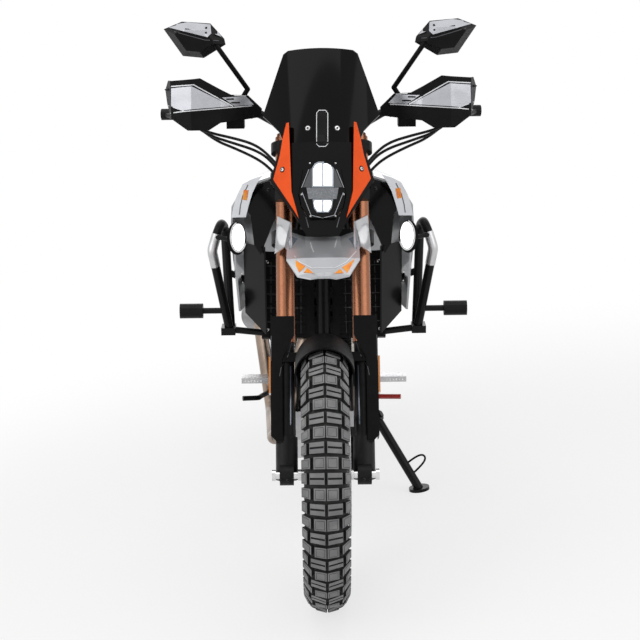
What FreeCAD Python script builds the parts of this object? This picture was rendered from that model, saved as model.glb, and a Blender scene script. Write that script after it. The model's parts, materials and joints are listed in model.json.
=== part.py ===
import FreeCAD, Part
import math
import os

# Adventure motorcycle, parked on its side stand.
# It is modelled upright: +X is the rider's left, +Y runs back from the front axle, +Z is up.
# At the end every piece leans over to the left until the stand's foot meets the ground.

V = FreeCAD.Vector
ORIGIN = V(0, 0, 0)
ALONG_X = V(1, 0, 0)
ALONG_Y = V(0, 1, 0)
ALONG_Z = V(0, 0, 1)
FULL_TURN = 360.0

# Driving dimensions of the whole machine, in millimetres and degrees
wheelbase = 1420.0
front_tyre_radius = 332.0
front_tyre_width = 116.0
rear_tyre_radius = 328.0
rear_tyre_width = 142.0
rake_angle = 26.0
axle_offset = 50.0
lean_angle = 7.5
fork_spacing = 190.0

# Clearances
overrun = 2.0
seat_gap = 0.3
running_gap = 0.1


def half_turn(shape):
    """A copy of a left-hand shape on the right-hand side."""
    return shape.mirror(ORIGIN, ALONG_X)


def both_sides(shape):
    return [shape, half_turn(shape)]


def rod(start, end, radius):
    """A round bar from one point to another."""
    run = end.sub(start)
    return Part.makeCylinder(radius, run.Length, start, run)


def tube(start, end, radius, bore):
    return rod(start, end, radius).cut(rod(start, end, bore))


def block(low, high):
    """A box from its low corner to its high corner."""
    return Part.makeBox(high.x - low.x, high.y - low.y, high.z - low.z, low)


def polygon(points):
    return Part.makePolygon(list(points) + [points[0]])


def prism(points, run):
    """A flat outline pushed along a vector."""
    return Part.Face(polygon(points)).extrude(run)


def loft(sections, ruled=False):
    """A solid through closed sections."""
    return Part.makeLoft(sections, True, ruled)


def fused(shapes):
    """One solid made of pieces that touch."""
    first, rest = shapes[0], shapes[1:]
    return first.fuse(rest).removeSplitter() if rest else first


def largest(shape):
    """The largest solid of a shape, once a cut has left a sliver beside it."""
    return max(shape.Solids, key=lambda solid: solid.Volume)


def bent_path(points, bend):
    """A wire of straight runs joined by tangent arcs of one radius."""
    edges = []
    start = points[0]
    for here, corner, after in zip(points, points[1:], points[2:]):
        back = here.sub(corner).normalize()
        ahead = after.sub(corner).normalize()
        opening = back.getAngle(ahead)
        reach = bend / math.tan(opening / 2)
        first = corner + back * reach
        last = corner + ahead * reach
        toward = (back + ahead).normalize()
        middle = corner + toward * (bend / math.sin(opening / 2) - bend)
        edges.append(Part.LineSegment(start, first).toShape())
        edges.append(Part.Arc(first, middle, last).toShape())
        start = last
    edges.append(Part.LineSegment(start, points[-1]).toShape())
    return Part.Wire(edges)


def bent_bar(points, radius, bend):
    """A round bar along a bent path."""
    path = bent_path(points, bend)
    section = Part.Wire(Part.makeCircle(radius, points[0], points[1].sub(points[0])))
    return path.makePipeShell([section], True, False)


def turned(profile, centre, about=ALONG_X, angle=FULL_TURN):
    """A closed profile revolved about an axis through a point."""
    return Part.Face(polygon(profile)).revolve(centre, about, angle)


def ellipse_section(centre, across, half_width, half_height, upright):
    """A closed ellipse, its first half axis along one direction and its second along another."""
    wide = half_width >= half_height
    major = across if wide else upright
    curve = Part.Ellipse(
        centre + major * max(half_width, half_height),
        centre + (upright if wide else across) * min(half_width, half_height),
        centre,
    )
    return Part.Wire(curve.toShape())


# Tyre sections
crown_wall = 22.0
lug_depth = 7.0
lug_root = 1.5
crown_band_angles = [0.0, 31.5, 68.0]
side_bands = 3
inner_bands = 4
tread_rows = 36
middle_lug_angles = (4.0, 27.0)
middle_lug_share = 0.66
shoulder_lug_angles = (36.0, 66.0)
shoulder_lug_share = 0.6
bead_width = 13.0
sidewall_out_share = 0.22
sidewall_up_share = 0.45
front_seat_radius = 241.3
rear_seat_radius = 215.9

# Rims: half width between the outer faces, flange height and well depth
front_rim_half = 38.0
rear_rim_half = 52.0
flange_height = 12.0
flange_thickness = 5.0
rim_thickness = 6.0
well_depth = 14.0
well_half = 11.0
shelf_half = 20.0

# Hubs and spokes
front_hub_half = 44.0
rear_hub_half = 52.0
hub_barrel_radius = 21.0
hub_flange_radius = 44.0
hub_flange_thickness = 7.0
front_flange_place = 33.0
rear_flange_place = 38.0
axle_radius = 9.0
spoke_radius = 2.3
spoke_circle_radius = 38.0
spokes_per_set = 9
spoke_cross_angle = 50.0
spoke_seat_place = 7.0

# Brake discs
front_disc_radius = 150.0
front_disc_bore = 112.0
front_disc_place = 58.0
rear_disc_radius = 120.0
rear_disc_bore = 88.0
rear_disc_place = 64.0
disc_thickness = 4.0
disc_arm_width = 16.0
disc_arms = 6
disc_hole_radius = 4.5
disc_holes = 24
carrier_outer_radius = 46.0

# Final drive
chain_place = 88.0
chain_pitch = 15.875
rear_sprocket_teeth = 43
front_sprocket_teeth = 15
sprocket_thickness = 6.5
tooth_depth = 7.0
tooth_tip_share = 0.12
tooth_foot_share = 0.44
sprocket_window_radius = 15.0
sprocket_window_place = 70.0
sprocket_windows = 6


def crown_height(outer, width):
    """Height of an axle above the ground line, for a round tyre that leans over."""
    crown = width / 2
    return outer - crown + crown / math.cos(math.radians(lean_angle))


front_axle = V(0, 0, crown_height(front_tyre_radius, front_tyre_width))
rear_axle = V(0, wheelbase, crown_height(rear_tyre_radius, rear_tyre_width))


def ring_of(shape, count, about=ALONG_X, centre=ORIGIN, first=0.0):
    """Copies of a shape, evenly spaced round an axis."""
    copies = []
    for n in range(count):
        copy = shape.copy()
        copy.rotate(centre, about, first + n * FULL_TURN / count)
        copies.append(copy)
    return copies


def crown_point(radius, shoulder, angle):
    """A point of the crown's circle, at an angle from its top."""
    lean = math.radians(angle)
    return V(radius * math.sin(lean), 0, shoulder + radius * math.cos(lean))


def swung(outline, angle):
    """An outline carried along its own flat to an angle about the axle."""
    return [V(p.x, p.z * math.tan(math.radians(angle)), p.z) for p in outline]


def tread_block(tip, shoulder, low_angle, high_angle, sweep):
    """One tread block: a flat-sided slice of the crown between two angles from its top."""
    foot = tip - lug_depth - lug_root
    outline = [
        crown_point(tip, shoulder, low_angle),
        crown_point(tip, shoulder, high_angle),
        crown_point(foot, shoulder, high_angle),
        crown_point(foot, shoulder, low_angle),
    ]
    return loft([polygon(swung(outline, -sweep / 2)), polygon(swung(outline, sweep / 2))], True)


def tread(outer, width, rows):
    """Four blocks a row: two beside the middle, and one on each shoulder."""
    tip = width / 2
    pitch = FULL_TURN / rows
    blocks = []
    for angles, sweep_share in (
        (middle_lug_angles, middle_lug_share),
        (shoulder_lug_angles, shoulder_lug_share),
    ):
        for side in both_sides(tread_block(tip, outer - tip, *angles, pitch * sweep_share)):
            blocks += ring_of(side, rows)
    return blocks


def carcass(outline, rows):
    """A closed ring of one flat-sided slice a row, with the outline at each slice's middle."""
    half = FULL_TURN / rows / 2
    near, far = swung(outline, -half), swung(outline, half)
    turns = list(zip(near, near[1:] + near[:1], far[1:] + far[:1], far))
    strip = Part.makeCompound([Part.Face(polygon(list(corners))) for corners in turns])
    faces = [face for slice_faces in ring_of(strip, rows) for face in slice_faces.Faces]
    shell = Part.makeShell(faces)
    shell.sewShape()
    return Part.makeSolid(shell)


def tyre(outer, width, seat, rim_half, rows):
    """A hollow tyre about the X axis, in flat slices with a row of tread blocks on each."""
    tip = width / 2
    crown = tip - lug_depth
    bead = rim_half - flange_thickness - seat_gap
    foot = seat + seat_gap
    shoulder = outer - tip
    lip = seat + flange_height
    side = Part.Arc(
        V(crown, 0, shoulder),
        V(crown - (crown - bead) * sidewall_out_share, 0, lip + (shoulder - lip) * sidewall_up_share),
        V(bead, 0, lip),
    )
    well = bead - bead_width
    inner = Part.Arc(V(well, 0, foot), V(0, 0, outer - crown_wall), V(-well, 0, foot))
    right = [crown_point(crown, shoulder, angle) for angle in crown_band_angles]
    right += side.discretize(side_bands + 1) + [V(bead, 0, foot)]
    left = [V(-p.x, 0, p.z) for p in reversed(right[1:])]
    outline = right + inner.discretize(inner_bands + 1) + left
    ring = carcass(outline, rows)
    return fused([ring] + tread(outer, width, rows))


def rim(seat, half):
    """A spoked wheel's rim about the X axis, with a dropped well."""
    flange = seat + flange_height
    under = seat - rim_thickness
    well = seat - well_depth
    floor = well - rim_thickness
    inside = half - flange_thickness
    right = [
        V(half, 0, flange),
        V(inside, 0, flange),
        V(inside, 0, seat),
        V(shelf_half, 0, seat),
        V(well_half, 0, well),
    ]
    below = [
        V(well_half + rim_thickness, 0, floor),
        V(half, 0, under),
    ]
    left = [V(-p.x, 0, p.z) for p in reversed(right)]
    left_below = [V(-p.x, 0, p.z) for p in reversed(below)]
    return turned(right + left + left_below + below, ORIGIN)


def hub(half, flange_place):
    """A hub about the X axis with two spoke flanges and its axle bore."""
    bore = axle_radius + running_gap
    inner = flange_place - hub_flange_thickness
    profile = [
        V(-half, 0, bore),
        V(half, 0, bore),
        V(half, 0, hub_barrel_radius),
        V(flange_place, 0, hub_barrel_radius),
        V(flange_place, 0, hub_flange_radius),
        V(inner, 0, hub_flange_radius),
        V(inner, 0, hub_barrel_radius),
        V(-inner, 0, hub_barrel_radius),
        V(-inner, 0, hub_flange_radius),
        V(-flange_place, 0, hub_flange_radius),
        V(-flange_place, 0, hub_barrel_radius),
        V(-half, 0, hub_barrel_radius),
    ]
    return turned(profile, ORIGIN)


def spokes(seat, flange_place):
    """Crossed spokes from both hub flanges to the rim's well."""
    reach = seat - well_depth - rim_thickness / 2
    middle = flange_place - hub_flange_thickness / 2
    bars = []
    for side in (1, -1):
        for way in (1, -1):
            start = V(side * middle, 0, spoke_circle_radius)
            swing = FreeCAD.Rotation(ALONG_X, way * spoke_cross_angle)
            end = swing.multVec(V(side * spoke_seat_place, 0, reach))
            turn = ((1 + side) + (1 + way) / 2) * FULL_TURN / spokes_per_set / 4
            bars += ring_of(rod(start, end, spoke_radius), spokes_per_set, first=turn)
    return bars


def wire_wheel(seat, rim_half, hub_half, flange_place):
    return fused([hub(hub_half, flange_place), rim(seat, rim_half)] + spokes(seat, flange_place))


def brake_disc(outer, bore, place, hub_half, bolt_side):
    """A drilled disc with its carrier arms, seated on the hub's end face."""
    low = place - disc_thickness / 2
    ring = Part.makeCylinder(outer, disc_thickness, V(low, 0, 0), ALONG_X)
    ring = ring.cut(Part.makeCylinder(bore, disc_thickness, V(low, 0, 0), ALONG_X))
    mid_radius = (outer + bore) / 2
    hole = rod(V(low - overrun, 0, mid_radius), V(place + disc_thickness, 0, mid_radius), disc_hole_radius)
    ring = ring.cut(ring_of(hole, disc_holes))
    seat = hub_half
    carrier = tube(
        V(seat, 0, 0),
        V(place + disc_thickness / 2, 0, 0),
        carrier_outer_radius,
        hub_barrel_radius,
    )
    arm = block(
        V(low, -disc_arm_width / 2, carrier_outer_radius - overrun),
        V(place + disc_thickness / 2, disc_arm_width / 2, bore + overrun),
    )
    disc = fused([ring, carrier] + ring_of(arm, disc_arms))
    return disc if bolt_side > 0 else half_turn(disc)


def pitch_radius(teeth):
    return chain_pitch / (2 * math.sin(math.pi / teeth))

# Front fork, in its own frame: its origin is where the steering axis passes nearest the axle,
# +Z runs up the axis and +Y runs back from it
fork_offset = 30.0
fork_tube_radius = 24.0
fork_tube_bore = 21.0
stanchion_radius = 20.5
stanchion_foot = 60.0
stanchion_top = 355.0
fork_tube_foot = 335.0
fork_tube_top = 878.0
fork_cap_height = 9.0
fork_cap_radius = 20.0
guard_foot = 84.0
guard_ear_width = 16.0
guard_wall = 3.5
guard_front_gap = 6.0
guard_step_out = 104.0
slider_foot = -8.0
slider_top = 96.0
slider_radius = 27.0
axle_boss_radius = 25.0
axle_boss_half = 17.0
lower_yoke_foot = 590.0
lower_yoke_thickness = 34.0
upper_yoke_foot = 835.0
upper_yoke_thickness = 26.0
yoke_clamp_radius = 35.0
yoke_waist_half = 26.0
yoke_back = 22.0
stem_radius = 15.0
stem_bore_gap = 0.1
head_tube_radius = 27.0
head_tube_gap = 4.0

# Handlebar clamps and bar
riser_place = 48.0
riser_radius = 16.0
riser_height = 36.0
riser_back = 6.0
bar_radius = 11.0
bar_clamp_half = 15.0
bar_clamp_radius = 20.0
bar_middle_half = 75.0
bar_rise = 50.0
bar_rise_out = 165.0
bar_end_out = 388.0
bar_sweep_back = 45.0
bar_end_drop = 4.0
bar_bend = 45.0

# Axle
axle_nut_length = 9.0
axle_nut_radius = 14.0
spacer_radius = 14.0

fork_foot = V(
    0,
    axle_offset * math.cos(math.radians(rake_angle)),
    front_axle.z - axle_offset * math.sin(math.radians(rake_angle)),
)
fork_frame = FreeCAD.Placement(fork_foot, FreeCAD.Rotation(ALONG_X, -rake_angle))
fork_half = fork_spacing / 2


def steered(shape):
    """Places a shape from the fork's frame into the machine's."""
    copy = shape.copy()
    copy.Placement = fork_frame.multiply(copy.Placement)
    return copy


def steer_point(x, y, z):
    """A point of the fork's frame, in the machine's frame."""
    return fork_frame.multVec(V(x, y, z))


def yoke(foot, thickness, stem_hole):
    """A triple clamp that grips both fork tubes and the stem."""
    top = V(0, 0, thickness)
    tube_centre = V(fork_half, -fork_offset, foot)
    outline = [
        V(-fork_half, -fork_offset - yoke_waist_half, foot),
        V(fork_half, -fork_offset - yoke_waist_half, foot),
        V(fork_half, -fork_offset + yoke_waist_half, foot),
        V(yoke_waist_half, yoke_back, foot),
        V(-yoke_waist_half, yoke_back, foot),
        V(-fork_half, -fork_offset + yoke_waist_half, foot),
    ]
    ends = [
        Part.makeCylinder(yoke_clamp_radius, thickness, c)
        for c in (tube_centre, V(-tube_centre.x, tube_centre.y, foot))
    ]
    body = fused([prism(outline, top)] + ends)
    bores = [
        Part.makeCylinder(fork_tube_radius + running_gap, thickness + 2 * overrun, c - ALONG_Z * overrun)
        for c in (tube_centre, V(-tube_centre.x, tube_centre.y, foot))
    ]
    if stem_hole:
        bores.append(Part.makeCylinder(stem_hole, thickness + 2 * overrun, V(0, 0, foot - overrun)))
    return body.cut(bores)


def make_yokes():
    """Both clamps on the steering stem, as one piece."""
    lower = yoke(lower_yoke_foot, lower_yoke_thickness, 0)
    upper = yoke(upper_yoke_foot, upper_yoke_thickness, 0)
    stem = rod(V(0, 0, lower_yoke_foot), V(0, 0, upper_yoke_foot + upper_yoke_thickness), stem_radius)
    risers = []
    for side in (1, -1):
        foot = V(side * riser_place, riser_back, upper_yoke_foot + upper_yoke_thickness)
        risers.append(rod(foot, foot + ALONG_Z * riser_height, riser_radius))
    return steered(fused([lower, upper, stem] + risers)).cut(make_handlebar())


def make_fork_tubes():
    """The two upper tubes of the upside-down fork, open at the foot and capped at the top."""
    pieces = []
    for side in (1, -1):
        foot = V(side * fork_half, -fork_offset, fork_tube_foot)
        top = V(foot.x, foot.y, fork_tube_top)
        cap = V(foot.x, foot.y, fork_tube_top + fork_cap_height)
        body = tube(foot, top, fork_tube_radius, fork_tube_bore)
        lid = rod(V(top.x, top.y, top.z - fork_cap_height), cap, fork_cap_radius)
        plug = rod(V(top.x, top.y, top.z - fork_cap_height), top, fork_tube_bore)
        pieces.append(steered(fused([body, plug, lid])))
    return pieces


def fork_leg(side):
    """One lower leg: a stanchion in a cast foot that clamps the axle."""
    centre = V(side * fork_half, -fork_offset, 0)
    stanchion = rod(centre + ALONG_Z * stanchion_foot, centre + ALONG_Z * stanchion_top, stanchion_radius)
    casting = rod(centre + ALONG_Z * slider_foot, centre + ALONG_Z * slider_top, slider_radius)
    middle = V(centre.x, -axle_offset, 0)
    boss = rod(middle - ALONG_X * axle_boss_half, middle + ALONG_X * axle_boss_half, axle_boss_radius)
    reach = ALONG_X * (slider_radius + overrun)
    hole = rod(middle - reach, middle + reach, axle_radius + running_gap)
    ear_front = -fork_offset - fork_tube_radius - guard_front_gap + guard_wall + seat_gap
    ear = block(
        V(guard_step_out, ear_front, slider_top - guard_ear_width),
        V(guard_step_out + guard_ear_width, -fork_offset, guard_foot + guard_ear_width),
    )
    if side < 0:
        ear = half_turn(ear)
    return steered(fused([casting, boss, stanchion, ear]).cut(hole))


def make_fork_legs():
    return [fork_leg(side) for side in (1, -1)]


def make_front_axle():
    """The axle with its spacers and its end nut."""
    reach = fork_half + slider_radius
    bar = rod(V(-reach, 0, 0), V(reach, 0, 0), axle_radius)
    inner = fork_half - slider_radius - seat_gap
    spacers = [
        rod(V(front_hub_half + seat_gap, 0, 0), V(inner, 0, 0), spacer_radius),
        rod(V(-front_hub_half - seat_gap, 0, 0), V(-inner, 0, 0), spacer_radius),
    ]
    nuts = [
        rod(V(side * reach, 0, 0), V(side * (reach + axle_nut_length), 0, 0), axle_nut_radius)
        for side in (1, -1)
    ]
    axle = fused([bar] + spacers + nuts)
    axle.translate(front_axle)
    return axle

# Fork guards and their side reflectors
guard_inner_out = 74.0
guard_outer_out = 133.0
guard_depth = 52.0
guard_inner_depth = 9.0
guard_top = 398.0
guard_step_foot = 290.0
guard_step_top = 350.0
guard_chamfer = 12.0
reflector_foot = 205.0
reflector_height = 92.0
reflector_width = 26.0
reflector_thickness = 5.0
reflector_inset = 10.0

# Front mudguard
fender_gap = 10.0
fender_wall = 3.5
fender_front_angle = -14.0
fender_rear_angle = 66.0
fender_skirt = 30.0
fender_tab_foot = 282.0
fender_tab_height = 24.0
fender_tab_thickness = 4.0
fender_tab_inner_out = 64.0
fender_tab_outer_out = 112.0


def thickened(points, wall):
    """The closed outline of a path with a constant thickness, laid to its left."""
    def normal(p, q):
        run = q.sub(p).normalize()
        return V(-run.y, run.x, 0)

    offset = []
    last = len(points) - 1
    for n, p in enumerate(points):
        before = normal(points[max(n - 1, 0)], points[max(n, 1)])
        after = normal(points[min(n, last - 1)], points[min(n + 1, last)])
        middle = (before + after).normalize()
        offset.append(p + middle * (wall / middle.dot(before)))
    return list(points) + offset[::-1]


def make_fork_guards():
    """Channel-shaped guards in front of the stanchions, narrower at the foot."""
    front = -fork_offset - fork_tube_radius - guard_front_gap
    back = front + guard_depth
    path = [
        V(guard_inner_out, front + guard_inner_depth, guard_foot),
        V(guard_inner_out, front, guard_foot),
        V(guard_outer_out, front, guard_foot),
        V(guard_outer_out, back, guard_foot),
    ]
    channel = prism(thickened(path, guard_wall), ALONG_Z * (guard_top - guard_foot))
    face = [
        V(guard_inner_out, front - overrun, guard_top),
        V(guard_outer_out, front - overrun, guard_top),
        V(guard_outer_out, front - overrun, guard_foot + guard_chamfer),
        V(guard_outer_out - guard_chamfer, front - overrun, guard_foot),
        V(guard_step_out, front - overrun, guard_foot),
        V(guard_step_out, front - overrun, guard_step_foot),
        V(guard_inner_out, front - overrun, guard_step_top),
    ]
    guard = channel.common(prism(face, ALONG_Y * (guard_depth + 2 * overrun)))
    return [steered(g) for g in both_sides(guard)]


def make_fork_reflectors():
    """Amber reflectors on the outer faces of the fork guards."""
    front = -fork_offset - fork_tube_radius - guard_front_gap + reflector_inset
    low = V(guard_outer_out, front, reflector_foot)
    high = low + V(reflector_thickness, reflector_width, reflector_height)
    return [steered(r) for r in both_sides(block(low, high))]


def make_front_fender():
    """An arched mudguard that follows the tyre, with a tab to the back of each fork guard."""
    crown = front_tyre_width / 2
    centre = V(0, 0, front_tyre_radius - crown)
    inner = crown + fender_gap
    outer = inner + fender_wall
    skirt = V(0, 0, -fender_skirt)

    def half_ring(radius):
        return Part.Arc(
            centre + V(-radius, 0, 0), centre + V(0, 0, radius), centre + V(radius, 0, 0)
        ).toShape()

    def run(start, end):
        return Part.LineSegment(centre + start, centre + end).toShape()

    section = Part.Wire(
        [
            half_ring(outer),
            run(V(outer, 0, 0), V(outer, 0, 0) + skirt),
            run(V(outer, 0, 0) + skirt, V(inner, 0, 0) + skirt),
            run(V(inner, 0, 0) + skirt, V(inner, 0, 0)),
            half_ring(inner),
            run(V(-inner, 0, 0), V(-inner, 0, 0) + skirt),
            run(V(-inner, 0, 0) + skirt, V(-outer, 0, 0) + skirt),
            run(V(-outer, 0, 0) + skirt, V(-outer, 0, 0)),
        ]
    )
    face = Part.Face(section)
    face.rotate(ORIGIN, ALONG_X, -fender_front_angle)
    arch = face.revolve(ORIGIN, ALONG_X, fender_front_angle - fender_rear_angle)
    arch.translate(front_axle)
    seat = -fork_offset - fork_tube_radius - guard_front_gap + guard_wall
    tab = block(
        V(fender_tab_inner_out, seat, fender_tab_foot),
        V(fender_tab_outer_out, seat + fender_tab_thickness, fender_tab_foot + fender_tab_height),
    )
    return fused([arch] + [steered(t) for t in both_sides(tab)])


# Handlebar
bar_end_length = 30.0
bar_end_radius = 15.0
grip_length = 122.0
grip_radius = 16.5
control_inset = 20.0
control_width = 46.0
control_depth = 52.0
control_height = 50.0
control_drop = 12.0
lever_radius = 5.0
lever_ahead = 52.0
lever_drop = 6.0
lever_tip_inset = 14.0
lever_bend = 24.0
reservoir_radius = 19.0
reservoir_height = 34.0
reservoir_ahead = 34.0

bar_centre = steer_point(
    0, riser_back, upper_yoke_foot + upper_yoke_thickness + riser_height + bar_radius
)


def bar_points():
    """The handlebar's path from the right end to the left end."""
    half = [
        bar_centre + V(bar_middle_half, 0, 0),
        bar_centre + V(bar_rise_out, bar_sweep_back / 4, bar_rise),
        bar_centre + V(bar_end_out, bar_sweep_back, bar_rise - bar_end_drop),
    ]
    other = [V(-p.x, p.y, p.z) for p in reversed(half)]
    return other + half


def along_bar(out):
    """A point on the outer run of the left half of the handlebar."""
    inner, end = bar_points()[-2:]
    share = (out - inner.x) / (end.x - inner.x)
    return inner + (end - inner) * share


def make_handlebar():
    """The bent bar with its clamp caps and end weights."""
    bar = bent_bar(bar_points(), bar_radius, bar_bend)
    run = (along_bar(bar_end_out) - along_bar(bar_rise_out)).normalize()
    pieces = [bar]
    tip = along_bar(bar_end_out)
    weight = rod(tip - run * overrun, tip + run * bar_end_length, bar_end_radius)
    pieces += both_sides(weight)
    for side in (1, -1):
        middle = bar_centre + V(side * riser_place, 0, 0)
        half = ALONG_X * bar_clamp_half
        pieces.append(rod(middle - half, middle + half, bar_clamp_radius))
    return fused(pieces)


def make_grips():
    """Rubber grips over the ends of the bar."""
    run = (along_bar(bar_end_out) - along_bar(bar_rise_out)).normalize()
    end = along_bar(bar_end_out) - run * overrun
    grip = tube(end - run * grip_length, end - run * seat_gap, grip_radius, bar_radius + running_gap)
    return both_sides(grip)


def make_controls():
    """Switch housings with their levers, and the brake reservoir on the right."""
    place = bar_end_out - grip_length - control_inset
    middle = along_bar(place)
    low = middle + V(-control_width, -control_depth / 2, -control_height + control_drop)
    housing = block(low, low + V(control_width, control_depth, control_height))
    run = (along_bar(bar_end_out) - along_bar(bar_rise_out)).normalize()
    hole = rod(middle - run * control_width * 2, middle + run * control_width, bar_radius + running_gap)
    start = middle + V(-control_width / 2, -control_depth / 2, -lever_drop)
    lever = bent_bar(
        [
            start + ALONG_Y * lever_radius,
            start + V(control_width / 2, -lever_ahead / 2, 0),
            along_bar(bar_end_out - lever_tip_inset) + V(0, -lever_ahead, -lever_drop),
        ],
        lever_radius,
        lever_bend,
    )
    left = fused([housing, lever]).cut(hole)
    right = half_turn(left)
    cup_foot = V(-place, middle.y - reservoir_ahead, middle.z + control_drop)
    cup = rod(cup_foot, cup_foot + ALONG_Z * reservoir_height, reservoir_radius)
    return [left, fused([right, cup.cut(half_turn(hole))])]


# Handguards: the shield's half outline as distances out and heights above the bar's middle
shield_wall = 4.0
shield_ahead = 118.0
shield_inner_out = 152.0
shield_height = 132.0
shield_low = 16.0
shield_outline_shares = [
    (0.00, 0.36),
    (0.02, 0.20),
    (0.42, 0.14),
    (0.54, 0.00),
    (0.76, 0.00),
    (0.93, 0.22),
    (0.98, 0.49),
    (1.00, 0.75),
    (0.96, 0.94),
    (0.62, 1.00),
    (0.31, 0.67),
    (0.14, 0.64),
]
shield_plan_shares = [
    (0.00, 0.40),
    (0.18, 0.70),
    (0.42, 0.96),
    (0.72, 1.00),
    (0.93, 0.84),
    (1.00, 0.40),
]
shield_arm_radius = 6.0
shield_arm_share = 0.3
shield_inner_arm_share = 0.6


def make_handguards():
    """Folded hand shields, each carried by the bar's end and by an inner arm."""
    span = bar_end_out + overrun * 6 - shield_inner_out
    foot = bar_centre.z + shield_low
    plan = [
        V(shield_inner_out + s * span, bar_centre.y + bar_sweep_back / 2 - a * shield_ahead, foot - overrun)
        for s, a in shield_plan_shares
    ]
    sheet = prism(thickened(plan, shield_wall), ALONG_Z * (shield_height + 2 * overrun))
    face = [
        V(shield_inner_out + s * span, bar_centre.y - shield_ahead * 2, foot + h * shield_height)
        for s, h in shield_outline_shares
    ]
    shield = sheet.common(prism(face, ALONG_Y * shield_ahead * 3))
    run = (along_bar(bar_end_out) - along_bar(bar_rise_out)).normalize()
    tip = along_bar(bar_end_out) + run * (bar_end_length / 2)
    near = plan[0] + (plan[1] - plan[0]) * shield_inner_arm_share
    inner_arm = rod(
        V(near.x, near.y + shield_wall / 2, tip.z),
        along_bar(near.x) - ALONG_Y * (bar_radius + seat_gap),
        shield_arm_radius,
    )
    far = plan[-2] + (plan[-3] - plan[-2]) * shield_arm_share
    outer_arm = rod(
        V(far.x, far.y + shield_wall / 2, tip.z),
        V(tip.x, tip.y - bar_end_radius - seat_gap - shield_arm_radius / 2, tip.z),
        shield_arm_radius,
    )
    return both_sides(fused([shield, inner_arm, outer_arm]).cut(make_handlebar()))


# Mirrors
mirror_stem_out = 190.0
mirror_stem_radius = 6.5
mirror_stem_foot_rise = 52.0
mirror_head_out = 243.0
mirror_head_width = 158.0
mirror_head_foot = 1318.0
mirror_head_height = 93.0
mirror_place = 440.0
mirror_depth = 40.0
mirror_front_scale_share = 0.62
mirror_outline_shares = [
    (0.00, 0.36),
    (0.36, 0.00),
    (0.70, 0.06),
    (1.00, 0.80),
    (0.70, 1.00),
    (0.24, 0.94),
    (0.02, 0.52),
]
mirror_joint_out_share = 0.16
mirror_joint_up_share = 0.38


def make_mirrors():
    """Mirror shells on raked stems that screw into the control housings."""
    rear = [
        V(mirror_head_out + s * mirror_head_width, mirror_place, mirror_head_foot + h * mirror_head_height)
        for s, h in mirror_outline_shares
    ]
    middle = V(
        mirror_head_out + mirror_head_width / 2,
        mirror_place,
        mirror_head_foot + mirror_head_height / 2,
    )
    front = [
        middle + (p - middle) * mirror_front_scale_share - ALONG_Y * mirror_depth for p in rear
    ]
    head = loft([polygon(rear), polygon(front)], True)
    joint = V(
        mirror_head_out + mirror_joint_out_share * mirror_head_width,
        mirror_place - mirror_depth / 2,
        mirror_head_foot + mirror_joint_up_share * mirror_head_height,
    )
    place = bar_end_out - grip_length - control_inset
    foot = along_bar(place) + V(-control_width / 2, 0, control_drop - overrun)
    knee = V(mirror_stem_out, foot.y, foot.z + mirror_stem_foot_rise)
    stem = [rod(foot, knee, mirror_stem_radius), rod(knee, joint, mirror_stem_radius)]
    ball = Part.makeSphere(mirror_stem_radius, knee)
    mirror = fused([head, ball] + stem).cut([make_controls()[0], make_handlebar()])
    return both_sides(largest(mirror))


# Screen and headlight cowl: both lean back, and the cowl is folded to a shallow bow
screen_foot = V(0, 221.0, 1120.0)
screen_lean = 28.0
screen_height = 255.0
screen_half = 147.0
screen_wall = 4.0
screen_bow_radius = 230.0
screen_outline_shares = [
    (0.62, 0.00),
    (0.72, 0.16),
    (1.00, 0.37),
    (0.64, 0.97),
    (0.56, 1.00),
]

cowl_foot = V(0, 112.0, 905.0)
cowl_height = 252.0
cowl_sheet_share = 1.3
cowl_half = 130.0
cowl_lean = 24.0
cowl_wall = 4.0
cowl_depth = 92.0
cowl_outline_shares = [
    (0.30, 0.00),
    (0.48, 0.17),
    (0.75, 0.40),
    (1.00, 0.62),
    (0.85, 0.85),
    (0.82, 1.00),
    (0.72, 1.00),
    (0.66, 0.95),
    (0.00, 0.95),
]
cowl_plan_shares = [
    (1.00, 1.00),
    (1.00, 0.60),
    (0.56, 0.09),
    (0.00, 0.00),
]

# Headlight
lamp_foot_rise = 42.0
lamp_height = 148.0
lamp_half = 58.0
lamp_depth = 62.0
lamp_proud = 9.0
lamp_gap = 1.0
lamp_back_scale_share = 0.72
lamp_outline_shares = [
    (0.56, 0.00),
    (0.88, 0.20),
    (1.00, 0.42),
    (0.80, 0.86),
    (0.00, 1.00),
]

# Side trims
trim_thickness = 5.0
trim_outline_shares = [
    (0.45, 0.18),
    (0.58, 0.45),
    (0.62, 1.16),
    (0.67, 1.16),
    (0.74, 1.02),
    (0.80, 0.85),
    (0.93, 0.62),
]

# Display
display_width = 132.0
display_height = 74.0
display_thickness = 24.0
display_lean = 40.0
display_rise = 268.0
display_back = 118.0

# Front bracket
bracket_thickness = 5.0
bracket_foot_rise = 105.0
bracket_height = 85.0
bracket_horn_shares = [0.25, 0.85]
bracket_ring_foot = 742.0
bracket_ring_height = 22.0
bracket_ring_wall = 6.0
bracket_post_radius = 6.0
bracket_pad_share = 0.4
screen_pad_out = 36.0
screen_pad_edge_out = 44.0
screen_pad_rise = 18.0
screen_pad_depth = 12.0


def leaning(foot, lean):
    """A frame whose Z axis leans back from the vertical."""
    return FreeCAD.Placement(foot, FreeCAD.Rotation(ALONG_X, -lean))


def placed(shape, frame):
    copy = shape.copy()
    copy.Placement = frame.multiply(copy.Placement)
    return copy


frame_of_screen = leaning(screen_foot, screen_lean)
display_frame = leaning(
    leaning(cowl_foot, cowl_lean).multVec(V(0, display_back, display_rise)), display_lean
)
lower_yoke_front = steer_point(0, -fork_offset - yoke_clamp_radius, lower_yoke_foot).y


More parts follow.
